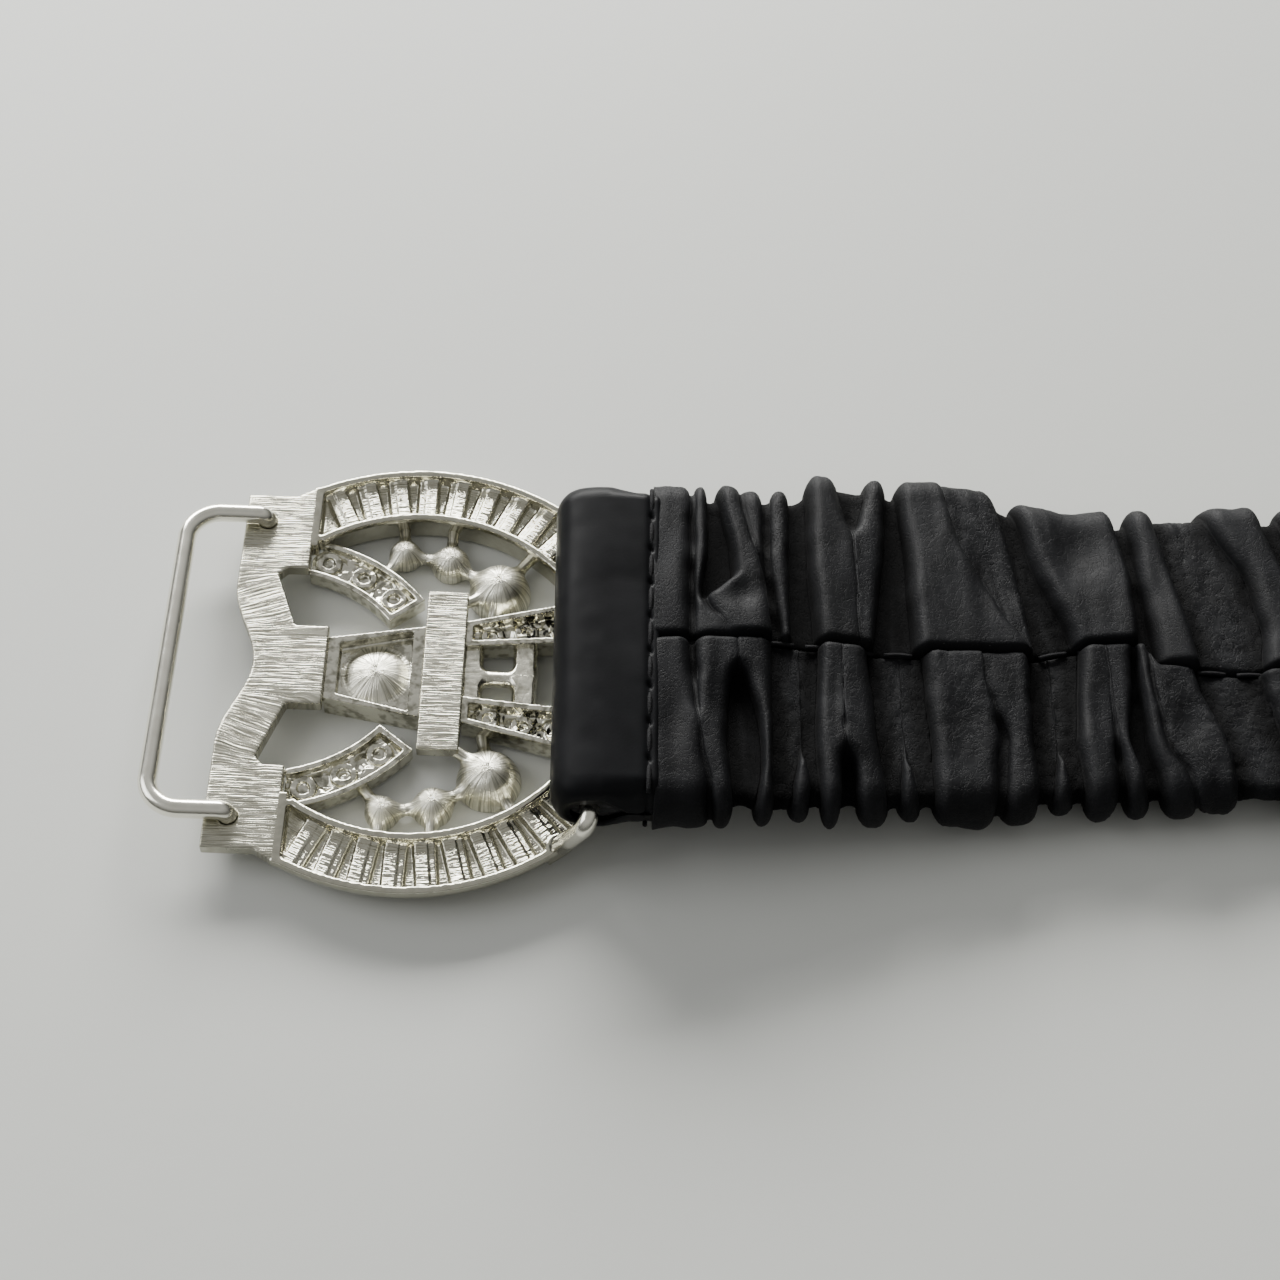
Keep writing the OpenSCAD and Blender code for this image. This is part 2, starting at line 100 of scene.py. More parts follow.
def make_light():
    """A low window on the far side, a weak lamp at the left and a room that is brighter overhead."""
    area_light("window", (-0.16, 0.7, 0.3), (0.02, 0, 0), (0.75, 0.26), 21.0, (1.0, 0.995, 0.97))
    area_light("side", (-0.62, 0.05, 0.42), (0.0, 0, 0), (0.45, 0.45), 2.4, (0.97, 0.98, 1.0))
    world = bpy.data.worlds.new("room")
    world.use_nodes = True
    tree = world.node_tree
    background = tree.nodes["Background"]
    place = tree.nodes.new("ShaderNodeTexCoord")
    split = tree.nodes.new("ShaderNodeSeparateXYZ")
    ramp = tree.nodes.new("ShaderNodeValToRGB")
    tree.links.new(place.outputs["Generated"], split.inputs[0])
    tree.links.new(split.outputs["Z"], ramp.inputs["Fac"])
    tree.links.new(ramp.outputs["Color"], background.inputs["Color"])
    stops = ramp.color_ramp.elements
    stops[0].position, stops[0].color = 0.0, (0.05, 0.05, 0.05, 1)
    stops[1].position, stops[1].color = 0.97, (0.6, 0.6, 0.585, 1)
    for position, grey in ((0.3, 0.22), (0.55, 0.5), (0.8, 0.7)):
        stop = stops.new(position)
        stop.color = (grey, grey, grey * 0.98, 1)
    background.inputs["Strength"].default_value = 0.66
    bpy.context.scene.world = world


# ---- Node helpers ----


class Shader:
    """One material's node tree, with short calls for the nodes used here."""

    def __init__(self, name):
        self.material = bpy.data.materials.new(name)
        self.material.use_nodes = True
        self.tree = self.material.node_tree
        self.bsdf = self.tree.nodes["Principled BSDF"]
        place = self.node("ShaderNodeTexCoord").outputs["Object"]
        self.object_mm = self.vector("MULTIPLY", place, (1000,) * 3)

    def node(self, kind, **values):
        made = self.tree.nodes.new(kind)
        for key, value in values.items():
            setattr(made, key, value)
        return made

    def put(self, socket, value):
        if isinstance(value, bpy.types.NodeSocket):
            self.tree.links.new(value, socket)
        elif value is not None:
            socket.default_value = value

    def filled(self, kind, inputs, **values):
        made = self.node(kind, **values)
        for socket, value in zip(made.inputs, inputs):
            self.put(socket, value)
        return made.outputs[0]

    def math(self, operation, a, b=None, clamp=False):
        return self.filled("ShaderNodeMath", (a, b), operation=operation, use_clamp=clamp)

    def vector(self, operation, a, b=None):
        return self.filled("ShaderNodeVectorMath", (a, b), operation=operation)

    def times(self, a, b):
        return self.math("MULTIPLY", a, b)

    def length(self, x, y):
        return self.math("SQRT", self.math("ADD", self.times(x, x), self.times(y, y)))

    def split(self):
        """The x, y and z of the place on the object, in millimetres."""
        made = self.node("ShaderNodeSeparateXYZ")
        self.put(made.inputs[0], self.object_mm)
        return [made.outputs[axis] for axis in "XYZ"]

    def join(self, x, y, z=None):
        return self.filled("ShaderNodeCombineXYZ", (x, y, z))

    def noise(self, scale, detail=2, roughness=0.5, stretch=(1, 1, 1), at=None, distortion=0.0):
        made = self.node("ShaderNodeTexNoise")
        self.put(made.inputs["Vector"], self.vector("MULTIPLY", at or self.object_mm, stretch))
        for socket, value in zip(("Scale", "Detail", "Roughness", "Distortion"),
                                 (scale, detail, roughness, distortion)):
            made.inputs[socket].default_value = value
        return made.outputs["Fac"]

    def cells(self, scale, feature="F1"):
        made = self.node("ShaderNodeTexVoronoi", feature=feature)
        self.put(made.inputs["Vector"], self.object_mm)
        made.inputs["Scale"].default_value = scale
        return made.outputs["Distance"]

    def ramp(self, value, stops):
        made = self.node("ShaderNodeValToRGB")
        self.put(made.inputs["Fac"], value)
        elements = made.color_ramp.elements
        while len(elements) < len(stops):
            elements.new(0.5)
        for element, (position, colour) in zip(elements, stops):
            element.position = position
            element.color = (*colour, 1) if len(colour) == 3 else colour
        return made.outputs["Color"]

    def spread(self, value, low, high):
        made = self.node("ShaderNodeMapRange")
        self.put(made.inputs["Value"], value)
        made.inputs["To Min"].default_value = low
        made.inputs["To Max"].default_value = high
        return made.outputs["Result"]

    def mix(self, share, a, b):
        made = self.node("ShaderNodeMix", data_type="FLOAT")
        self.put(made.inputs[0], share)
        self.put(made.inputs[2], a)
        self.put(made.inputs[3], b)
        return made.outputs[0]

    def attribute(self, name):
        return self.node("ShaderNodeAttribute", attribute_name=name).outputs["Fac"]

    def bump(self, height, depth_mm, normal=None):
        made = self.node("ShaderNodeBump")
        made.inputs["Strength"].default_value = 1.0
        made.inputs["Distance"].default_value = depth_mm * MM
        self.put(made.inputs["Height"], height)
        self.put(made.inputs["Normal"], normal)
        return made.outputs["Normal"]

    def finish(self, colour, roughness, normal=None, **fixed):
        self.put(self.bsdf.inputs["Base Color"], colour)
        self.put(self.bsdf.inputs["Roughness"], roughness)
        self.put(self.bsdf.inputs["Normal"], normal)
        for name, value in fixed.items():
            self.bsdf.inputs[name.replace("_", " ")].default_value = value
        return self.material


def tool_lines(s):
    """Fine lines that meet at the nearest dome's apex, from the mesh's aim_x and aim_y."""
    x, y = s.attribute("aim_x"), s.attribute("aim_y")
    angle = s.math("ARCTAN2", y, x)
    place = s.join(s.times(s.math("COSINE", angle), 17.0), s.times(s.math("SINE", angle), 17.0),
                   s.times(s.length(x, y), 0.25))
    return s.noise(1.0, 1, 0.5, at=place)


def cast_metal():
    """Bright plating over a slightly lumpy cast surface, with tool lines round each dome."""
    s = Shader("plated_casting")
    lumps = s.noise(1.1, 2, 0.5)
    grit = s.noise(5.0, 2, 0.5)
    lines = tool_lines(s)
    tooled = s.attribute("tooled")
    normal = s.bump(s.times(lines, tooled), 0.09, s.bump(grit, 0.012, s.bump(lumps, 0.05)))
    shade = s.ramp(s.mix(tooled, lumps, lines),
                   [(0.36, (0.36, 0.35, 0.285)), (0.54, (0.74, 0.725, 0.62))])
    rough = s.math("ADD", s.spread(grit, 0.12, 0.2), s.times(tooled, 0.2))
    return s.finish(shade, rough, normal, Metallic=1.0)


def ring_metal():
    """The ring's plating, with fine lines cut round the ring across the backs of its seats."""
    s = Shader("plated_ring")
    x, y, z = s.split()
    place = s.join(s.times(s.length(x, y), 5.0), s.times(s.math("ARCTAN2", y, x), 6.0))
    lines = s.noise(1.0, 2, 0.6, at=place)
    below = s.math("SUBTRACT", BACK_Z - 0.25, z)
    inside = s.math("MULTIPLY", below, 3.0, clamp=True)
    lumps = s.noise(1.2, 2, 0.5)
    normal = s.bump(s.times(lines, inside), 0.13, s.bump(lumps, 0.05))
    colour = s.ramp(lumps, [(0.0, (0.46, 0.447, 0.37)), (1.0, (0.68, 0.665, 0.56))])
    return s.finish(colour, s.spread(lines, 0.1, 0.22), normal, Metallic=1.0)


def brushed_metal(name, tilt_by_y, pitch):
    """Plated metal filed across the buckle in fine uneven lines; tilt_by_y fans the lines out
    where the plate runs diagonally."""
    s = Shader(name)
    x, y, z = s.split()
    across = s.math("ADD", y, s.times(s.noise(0.35, 1), 0.3))
    if tilt_by_y:
        # slope of the lines: none at the middle and the blocks, steepest halfway along the diagonals
        outwards = s.math("SUBTRACT", s.math("MINIMUM", s.math("ABSOLUTE", y), 11.0), 3.0)
        share = s.math("SINE", s.times(s.math("MAXIMUM", outwards, 0.0), math.pi / 8.0))
        slope = s.times(s.times(share, s.math("SIGN", y)), -0.38)
        across = s.math("ADD", across, s.times(slope, s.math("ADD", x, 14.0)))
    place = s.join(s.times(x, 0.035), across)
    lines = s.noise(pitch, 1, 0.5, at=place)
    scratches = s.noise(11.0, 2, 0.6, at=place)
    normal = s.bump(scratches, 0.015, s.bump(lines, 0.05))
    colour = s.ramp(lines, [(0.38, (0.31, 0.3, 0.24)), (0.54, (0.55, 0.538, 0.453))])
    return s.finish(colour, s.spread(scratches, 0.2, 0.32), normal, Metallic=1.0)


def wire_metal():
    """Polished plated wire with faint drawing lines."""
    s = Shader("plated_wire")
    haze = s.noise(0.8, 2)
    fine = s.noise(14.0, 2, 0.5, stretch=(1, 0.2, 1))
    colour = s.ramp(haze, [(0.0, (0.82, 0.8, 0.7)), (1.0, (0.93, 0.915, 0.82))])
    return s.finish(colour, s.spread(haze, 0.16, 0.26), s.bump(fine, 0.006), Metallic=1.0)


def creases(s, scale, width, stretch, distortion):
    """A network of thin lines: 1 on a line and 0 between them."""
    field = s.noise(scale, 3, 0.55, stretch=stretch, distortion=distortion)
    away = s.math("ABSOLUTE", s.math("SUBTRACT", field, 0.5))
    return s.math("SUBTRACT", 1.0, s.math("DIVIDE", away, width), clamp=True)


def leather(name):
    """Black semi-gloss leather. The mesh's grain attribute says where it is pebbled and creased, and a
    second attribute darkens the colour as painted shade deep between the folds and along the seam, where it
    also makes the leather rougher.
    """
    s = Shader(name)
    grain = s.attribute("grain")
    pebble = s.cells(2.3, feature="SMOOTH_F1")
    fine = s.noise(4.5, 3, 0.6)
    lines = creases(s, 0.55, 0.022, (1.3, 0.8, 1.0), 0.5)
    small = creases(s, 1.7, 0.045, (1.0, 1.0, 1.0), 0.3)
    soft = s.noise(0.5, 2, 0.5, stretch=(1.4, 0.4, 1))
    cuts = s.math("ADD", s.times(lines, s.spread(grain, 0.25, 0.7)),
                  s.times(small, s.spread(grain, 0.2, 1.0)))
    normal = s.bump(soft, 0.05)
    normal = s.bump(s.times(pebble, grain), 0.022, normal)
    normal = s.bump(s.math("SUBTRACT", 1.0, cuts), 0.050, normal)
    normal = s.bump(fine, 0.016, normal)
    painted_crevice_shade = s.attribute("painted_crevice_shade")
    tone = s.noise(0.25, 3)
    # painted shade: the colour darkens where the leather lies deep between folds and where it dives into the
    # seam
    colour = s.ramp(s.math("SUBTRACT", tone, s.times(painted_crevice_shade, 0.5)),
                    [(0.05, (0.0012, 0.0012, 0.0014)), (0.65, (0.0085, 0.0088, 0.0100))])
    rough = s.math("ADD", s.spread(fine, 0.5, 0.6), s.times(painted_crevice_shade, 0.3))
    return s.finish(colour, rough, normal, Specular_IOR_Level=0.1)


def smooth_leather():
    """The same leather where it is pulled flat: hardly any grain, and a soft shine."""
    s = Shader("tab_leather")
    soft = s.noise(0.22, 2, 0.5)
    fine = s.noise(5.0, 3, 0.6)
    normal = s.bump(fine, 0.009, s.bump(soft, 0.03))
    colour = s.ramp(soft, [(0.35, (0.0050, 0.0052, 0.0058)), (0.7, (0.0080, 0.0082, 0.0092))])
    return s.finish(colour, s.spread(soft, 0.34, 0.44), normal, Specular_IOR_Level=0.05)


def thread():
    s = Shader("black_thread")
    twist = s.noise(6.0, 2, 0.5, stretch=(1, 2.2, 1))
    colour = s.ramp(twist, [(0.3, (0.004, 0.004, 0.005)), (0.7, (0.012, 0.012, 0.013))])
    return s.finish(colour, s.spread(twist, 0.6, 0.8), s.bump(twist, 0.08), Specular_IOR_Level=0.12)


def webbing():
    s = Shader("elastic_webbing")
    weave = s.cells(1.6)
    colour = s.ramp(weave, [(0.1, (0.03, 0.03, 0.033)), (0.8, (0.012, 0.012, 0.013))])
    return s.finish(colour, s.spread(weave, 0.7, 0.9), s.bump(weave, 0.2))


def crystal():
    s = Shader("crystal")
    tint = s.noise(0.5, 1)
    colour = s.ramp(tint, [(0.3, (0.86, 0.9, 0.93)), (0.7, (0.96, 0.97, 0.98))])
    return s.finish(colour, s.spread(tint, 0.02, 0.06), None, Transmission_Weight=0.85, IOR=1.6)


def floor_material():
    s = Shader("table_top")
    cloud = s.noise(0.004, 3)
    fleck = s.noise(0.25, 4, 0.7)
    colour = s.ramp(cloud, [(0.35, (0.555, 0.564, 0.536)), (0.65, (0.580, 0.589, 0.561))])
    return s.finish(colour, 0.55, s.bump(fleck, 0.02), Specular_IOR_Level=0.3)


# ---- Mesh helpers ----


def new_piece(name, points, faces, body, material, replaced=(), smooth=True):
    """A mesh piece from points in millimetres."""
    mesh = bpy.data.meshes.new(name)
    mesh.from_pydata((np.asarray(points, float) * MM).tolist(), [], [tuple(map(int, f)) for f in faces])
    return dress(bpy.data.objects.new(name, mesh), body, material, replaced, smooth)


def dress(piece, body, material, replaced=(), smooth=True):
    show(piece)
    piece.data.materials.clear()
    piece.data.materials.append(material)
    for polygon in piece.data.polygons:
        polygon.use_smooth = smooth
    if body:
        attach(piece, body)
    if replaced:
        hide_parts(*replaced)
    return piece


def grid_faces(rows, columns, wrap_rows=False, wrap_columns=False, first=0):
    """Quads over a grid of points stored row by row."""
    r = np.arange(rows if wrap_rows else rows - 1)
    c = np.arange(columns if wrap_columns else columns - 1)
    i, j = np.meshgrid(r, c, indexing="ij")
    i2, j2 = (i + 1) % rows, (j + 1) % columns
    quads = np.stack([i * columns + j, i * columns + j2, i2 * columns + j2, i2 * columns + j], -1)
    return quads.reshape(-1, 4) + first


def box_mm(node):
    """The low and high corners of a CAD node."""
    return [np.array(corner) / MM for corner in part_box(node)]


def mesh_points(mesh):
    """A mesh's points in millimetres."""
    points = np.zeros(len(mesh.vertices) * 3)
    mesh.vertices.foreach_get("co", points)
    return points.reshape(-1, 3) / MM


def move_points(mesh, points):
    """Puts a mesh's points at new places, given in millimetres."""
    mesh.vertices.foreach_set("co", (points * MM).ravel())
    mesh.update()


def value_noise(x, y, seed):
    """Smooth noise from -1 to 1 with one value a unit."""
    table = np.random.RandomState(seed).rand(64, 64) * 2 - 1
    xi, yi = np.floor(x).astype(int), np.floor(y).astype(int)
    fx, fy = x - xi, y - yi
    fx, fy = fx * fx * (3 - 2 * fx), fy * fy * (3 - 2 * fy)
    a, b = table[xi % 64, yi % 64], table[(xi + 1) % 64, yi % 64]
    c, d = table[xi % 64, (yi + 1) % 64], table[(xi + 1) % 64, (yi + 1) % 64]
    return (a * (1 - fx) + b * fx) * (1 - fy) + (c * (1 - fx) + d * fx) * fy


def set_attribute(piece, name, values):
    """Stores one number for each of the piece's points, for its material."""
    made = piece.data.attributes.new(name, "FLOAT", "POINT")
    made.data.foreach_set("value", np.asarray(values, np.float32))


# ---- Metal ----


def softened(node, voxel_mm, rounds, shape=None):
    """A copy of a CAD node with its edges rounded as a casting's are. shape, if given, moves the
    copy's points: it takes and returns an array of points in millimetres."""
    work = bmesh.new()
    work.from_mesh(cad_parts[node].data)
    bmesh.ops.remove_doubles(work, verts=work.verts, dist=1e-6)
    mesh = bpy.data.meshes.new(node + "_cast")
    work.to_mesh(mesh)
    work.free()
    rough = bpy.data.objects.new(node + "_cast", mesh)
    show(rough)
    remesh = rough.modifiers.new("remesh", "REMESH")
    remesh.mode = "VOXEL"
    remesh.voxel_size = voxel_mm * MM
    relax = rough.modifiers.new("relax", "SMOOTH")
    relax.factor, relax.iterations = 0.5, rounds
    made = bpy.data.meshes.new_from_object(rough.evaluated_get(bpy.context.evaluated_depsgraph_get()))
    bpy.data.objects.remove(rough)
    made.name = node + "_cast"
    if shape:
        move_points(made, shape(mesh_points(made)))
    return bpy.data.objects.new(node + "_cast", made)


# The upper domes as x, y and radius, and then every dome of the buckle's back
CUPS = [(7.3, 10.3, 2.95), (2.45, 13.3, 1.85), (-2.0, 14.1, 1.55)]
APEXES = [(x, side * y, radius) for side in (1, -1) for x, y, radius in CUPS] + [(-3.6, 0.0, 3.6)]


def cast_node(node, material, voxel_mm, rounds, shape=None, tooled=0.0, reach=FAR):
    """A softened copy in place of a CAD node."""
    return finish_cast(softened(node, voxel_mm, rounds, shape), node, material, tooled, reach)


def finish_cast(made, node, material, tooled, reach):
    """tooled is how deep the tool lines are, and reach how far they run, in radii of a dome."""
    piece = dress(made, "buckle", material, [node])
    points = mesh_points(piece.data)
    offsets = np.array([points[:, :2] - apex[:2] for apex in APEXES])
    away = np.array([np.linalg.norm(offset, axis=1) / apex[2] for offset, apex in zip(offsets, APEXES)])
    aim = offsets[np.argmin(away, axis=0), np.arange(len(points))]
    set_attribute(piece, "aim_x", aim[:, 0])
    set_attribute(piece, "aim_y", aim[:, 1])
    share = np.clip(away.min(axis=0) * 3, 0.25, 1) * np.clip((reach - away.min(axis=0)) / 0.1, 0, 1)
    set_attribute(piece, "tooled", tooled * share)
    return piece


def rise(value, start, width):
    """0 below start, 1 from start + width on, and a straight slope between."""
    return np.clip((value - start) / width, 0, 1)


def cast_grit(points, depth):
    """Heights for a lumpy cast floor."""
    grit = value_noise(points[:, 0] * 1.1, points[:, 1] * 1.1, 31)
    grit += 0.5 * value_noise(points[:, 0] * 2.7, points[:, 1] * 2.7, 32)
    return grit * depth


def seat_shape(node):
    """Roughens what lies below the tops of a node's walls, and leaves its front as it is."""
    top = box_mm(node)[1][2]

    def shape(points):
        moved = points.copy()
        inside = (1 - rise(points[:, 2], top - 0.65, 0.3)) * rise(points[:, 2], 1.0, 0.3)
        moved[:, 2] += cast_grit(points, 0.2) * inside
        return moved
    return shape


def blend_in(a, b, reach):
    """Joins two distance fields with a fillet."""
    share = np.clip(0.5 + 0.5 * (b - a) / reach, 0, 1)
    return b + (a - b) * share - reach * share * (1 - share)


def capsule(x, y, z, a, b, radius):
    """The distance field of a round bar from a to b."""
    a, b = np.array(a, float), np.array(b, float)
    way = b - a
    share = (x - a[0]) * way[0] + (y - a[1]) * way[1] + (z - a[2]) * way[2]
    share = np.clip(share / (way @ way), 0, 1)
    return np.sqrt((x - a[0] - share * way[0]) ** 2 + (y - a[1] - share * way[1]) ** 2
                   + (z - a[2] - share * way[2]) ** 2) - radius


def field_mesh(name, field, low, step):
    """The surface where a distance field is zero."""
    grid = openvdb.FloatGrid(10.0)
    grid.copyFromArray(field.astype(np.float32))
    points, quads = grid.convertToQuads(0.0)
    work = bmesh.new()
    made = [work.verts.new((np.array(low) + p * step) * MM) for p in points]
    for quad in quads:
        if len(set(quad)) == 4:
            work.faces.new([made[k] for k in quad])
    bmesh.ops.recalc_face_normals(work, faces=work.faces)
    mesh = bpy.data.meshes.new(name)
    work.to_mesh(mesh)
    work.free()
    return mesh


def open_grid(low, span, step):
    """x, y and z over a box, each along its own axis of the array."""
    x, y, z = (low[k] + step * np.arange(int(span[k] / step)) for k in range(3))
    return x[:, None, None], y[None, :, None], z[None, None, :]


def make_cluster(side, material):
    """Three domed cups and the necks between them, poured as one, with a pocket under each dome."""
    node = ("upper" if side > 0 else "lower") + "_cup_cluster"
    step, low = 0.085, (-5.2, 4.6, -0.1)
    x, y, z = open_grid(low, (20.2, 13.2, 3.8), step)
    crowns = (BACK_Z + 0.1, BACK_Z - 0.55, BACK_Z - 0.7)
    metal = np.full(1, float(FAR))
    for (cx, cy, radius), crown in zip(CUPS, crowns):
        dome = np.sqrt((x - cx) ** 2 + (y - cy) ** 2 + (z - crown + radius) ** 2) - radius
        metal = np.minimum(metal, dome)
    # necks from cup to cup, out to the ring, in to the arc setting and the row, and to the bar
    (bx, by), (mx, my), (sx, sy) = (cup[:2] for cup in CUPS)
    level, neck, fillet = 1.05, 0.55, 0.7
    necks = [((bx, by, level), (mx, my, level)), ((mx, my, level), (sx, sy, level)),
             ((bx, by, level), (bx * 2, by * 2, level)), ((bx, by, level), (bx - 1, 5, level)),
             ((mx, my, level), (mx, 20, level)), ((sx, sy, level), (sx - 0.5, 20, level)),
             ((sx, sy, level), (sx - 2.5, 11, level)), ((bx - 1, by - 1, 1.6), (4.2, 8.1, 2.1))]
    for a, b in necks:
        metal = blend_in(metal, capsule(x, y, z, a, b, neck), fillet)
    # cut off at the front, the ring's inner wall, the arc setting, the row and the bar
    for limit in (0.15 - z, np.hypot(x, y) - 17.2, 18.0 - np.hypot(x + 13.8, y + 3.1),
                  5.4 + 0.26 * (x - 4.5) - y, np.minimum(4.45 - x, 8.55 - y)):
        metal = np.maximum(metal, limit)
    for (cx, cy, radius), crown in zip(CUPS, crowns):
        pocket = np.maximum(np.hypot(x - cx, y - cy) - radius * 0.8, z - min(crown - radius * 0.75, 1.7))
        metal = np.maximum(metal, -pocket)
    mesh = field_mesh(node + "_cast", metal, low, step)
    if side < 0:
        mesh.transform(Matrix.Scale(-1, 4, (0, 1, 0)))
        mesh.flip_normals()
    return finish_cast(bpy.data.objects.new(node + "_cast", mesh), node, material, 1.0, FAR)


def make_bridge(material):
    """The short H between the two rows, its joints filled with metal."""
    low, high = box_mm("row_bridge")
    step, start = 0.09, low - 0.4
    x, y, z = open_grid(start, high - low + 0.8, step)
    level, half = (low[2] + high[2]) / 2, high[1] + 1
    bars = [((low[0] - 1, 0, level), (10.1, 0, level), 0.75),
            ((5.2, -half, level), (5.2, half, level), 1.05),
            ((10.1, -half, level), (10.1, half, level), 1.15)]
    metal = capsule(x, y, z, *bars[0])
    for bar in bars[1:]:
        metal = blend_in(metal, capsule(x, y, z, *bar), 0.8)
    for position, near, far in zip((x, y, z), low, high):
        metal = np.maximum(metal, np.maximum(near - position, position - far))
    mesh = field_mesh("row_bridge_cast", metal, start, step)
    return finish_cast(bpy.data.objects.new("row_bridge_cast", mesh), "row_bridge", material, 0.5, FAR)


def ring_shape(points):
    """Deepens the gaps between the seats, and runs the ring's ends into the plate."""
    moved = points.copy()
    joint = box_mm("ring_channel")[0][0]
    moved[:, 0] -= 0.35 * (1 - rise(points[:, 0], joint, 0.5))
    # the floor between the seats lies deeper than their backs
    floor = (1 - rise(points[:, 2], 2.0, 0.15)) * rise(points[:, 2], 1.55, 0.1)
    reach = np.hypot(points[:, 0], points[:, 1])
    between_walls = (reach > 17.6) * (reach < 22.45)
    moved[:, 2] -= 0.15 * floor * between_walls
    return moved


def tube(path, radius, sides=28):
    """Points and faces of a round bar swept along a path of points."""
    path = np.asarray(path, float)
    ahead = np.gradient(path, axis=0)
    ahead /= np.linalg.norm(ahead, axis=1)[:, None]
    guide = np.cross(ahead[0], (0, 0, 1) if abs(ahead[0][2]) < 0.9 else (1, 0, 0))
    rings = []
    for point, direction in zip(path, ahead):
        guide = guide - direction * (guide @ direction)
        guide /= np.linalg.norm(guide)
        other = np.cross(direction, guide)
        turn = np.linspace(0, 2 * math.pi, sides, endpoint=False)
        rings.append(point + radius * (np.cos(turn)[:, None] * guide + np.sin(turn)[:, None] * other))
    points = np.concatenate(rings + [path[:1], path[-1:]])
    faces = grid_faces(len(path), sides, wrap_columns=True).tolist()
    last = (len(path) - 1) * sides
    for side in range(sides):
        after = (side + 1) % sides
        faces.append((len(path) * sides, after, side))
        faces.append((len(path) * sides + 1, last + side, last + after))
    return points, faces


def bent(corners, radii, steps=14):
    """A path through corners, rounded at each inner corner by its radius."""
    corners = [np.array(c, float) for c in corners]
    path = [corners[0]]
    for before, corner, after, radius in zip(corners, corners[1:], corners[2:], radii):
        a, b = before - corner, after - corner
        a, b = a / np.linalg.norm(a), b / np.linalg.norm(b)
        half = math.acos(np.clip(a @ b, -1, 1)) / 2
        centre = corner + (a + b) / np.linalg.norm(a + b) * radius / math.sin(half)
        start, end = corner + a * radius / math.tan(half), corner + b * radius / math.tan(half)
        for share in np.linspace(0, 1, steps):
            way = (start - centre) * (1 - share) + (end - centre) * share
            path.append(centre + way / np.linalg.norm(way) * radius)
    path.append(corners[-1])
    dense = [path[0]]
    for a, b in zip(path, path[1:]):
        pieces = max(1, int(np.linalg.norm(b - a) / 1.5))
        dense += [a + (b - a) * (k + 1) / pieces for k in range(pieces)]
    return dense


def make_left_bail(material):
    """The free bail: a bar, two legs and two feet turned down into the plate."""
    foot_x, bar_x, half = -15.2, -22.4, 16.05
    foot_z, bar_z = BACK_Z - 0.85, BACK_Z + 1.0
    corners = [(foot_x, -half, foot_z), (foot_x, -half, bar_z), (bar_x, -half, bar_z),
               (bar_x, half, bar_z), (foot_x, half, bar_z), (foot_x, half, foot_z)]
    points, faces = tube(bent(corners, [0.9, 3, 3, 0.9]), WIRE_R)
    new_piece("free_bail_wire", points, faces, "buckle", material, ["left_bail"])


def make_right_bail(material):
    """The strap's bail, which stands up from the ring and slants towards the strap."""
    foot_x, half = 14.0, 17.9
    corners = [(foot_x, -half, BACK_Z), (BAR_X, -half, BAR_Z), (BAR_X, half, BAR_Z), (foot_x, half, BACK_Z)]
    points, faces = tube(bent(corners, [1.15, 1.15]), WIRE_R)
    new_piece("strap_bail_wire", points, faces, "buckle", material, ["right_bail"])


# ---- Strap ----

FOLD_R = 3.45         # half the tab's thickness
TAB_HALF = 16.72      # half the tab's length along the bail
BORE_R = 0.95         # radius of the elastic's way round the bar
STITCH_X = 21.3       # the line of stitches that closes the tab
TAB_END, SLEEVE_END = 22.0, 86.2
SETTLE = 38.0         # how far the strap takes to come down from the bail to the surface
LOW_TOP = 6.8         # the strap's thickness where it lies on the surface


def ease(u):
    """From 1 at 0 to 0 at 1, level at both ends."""
    return (1 + np.cos(math.pi * np.clip(u, 0, 1))) / 2


def strap_top(x):
    """The height of the strap's upper side, x along it."""
    return LOW_TOP + (BAR_Z + FOLD_R - LOW_TOP) * ease((x - TAB_END) / SETTLE)


def strap_bottom(x):
    """The height of the strap's lower side."""
    return (BAR_Z - FOLD_R) * ease((x - TAB_END) / SETTLE)


def drift(x):
    """How far the strap's middle line has curved to +Y."""
    run = np.maximum(x - TAB_END, 0)
    return 0.135 * run - 0.0009 * run ** 2


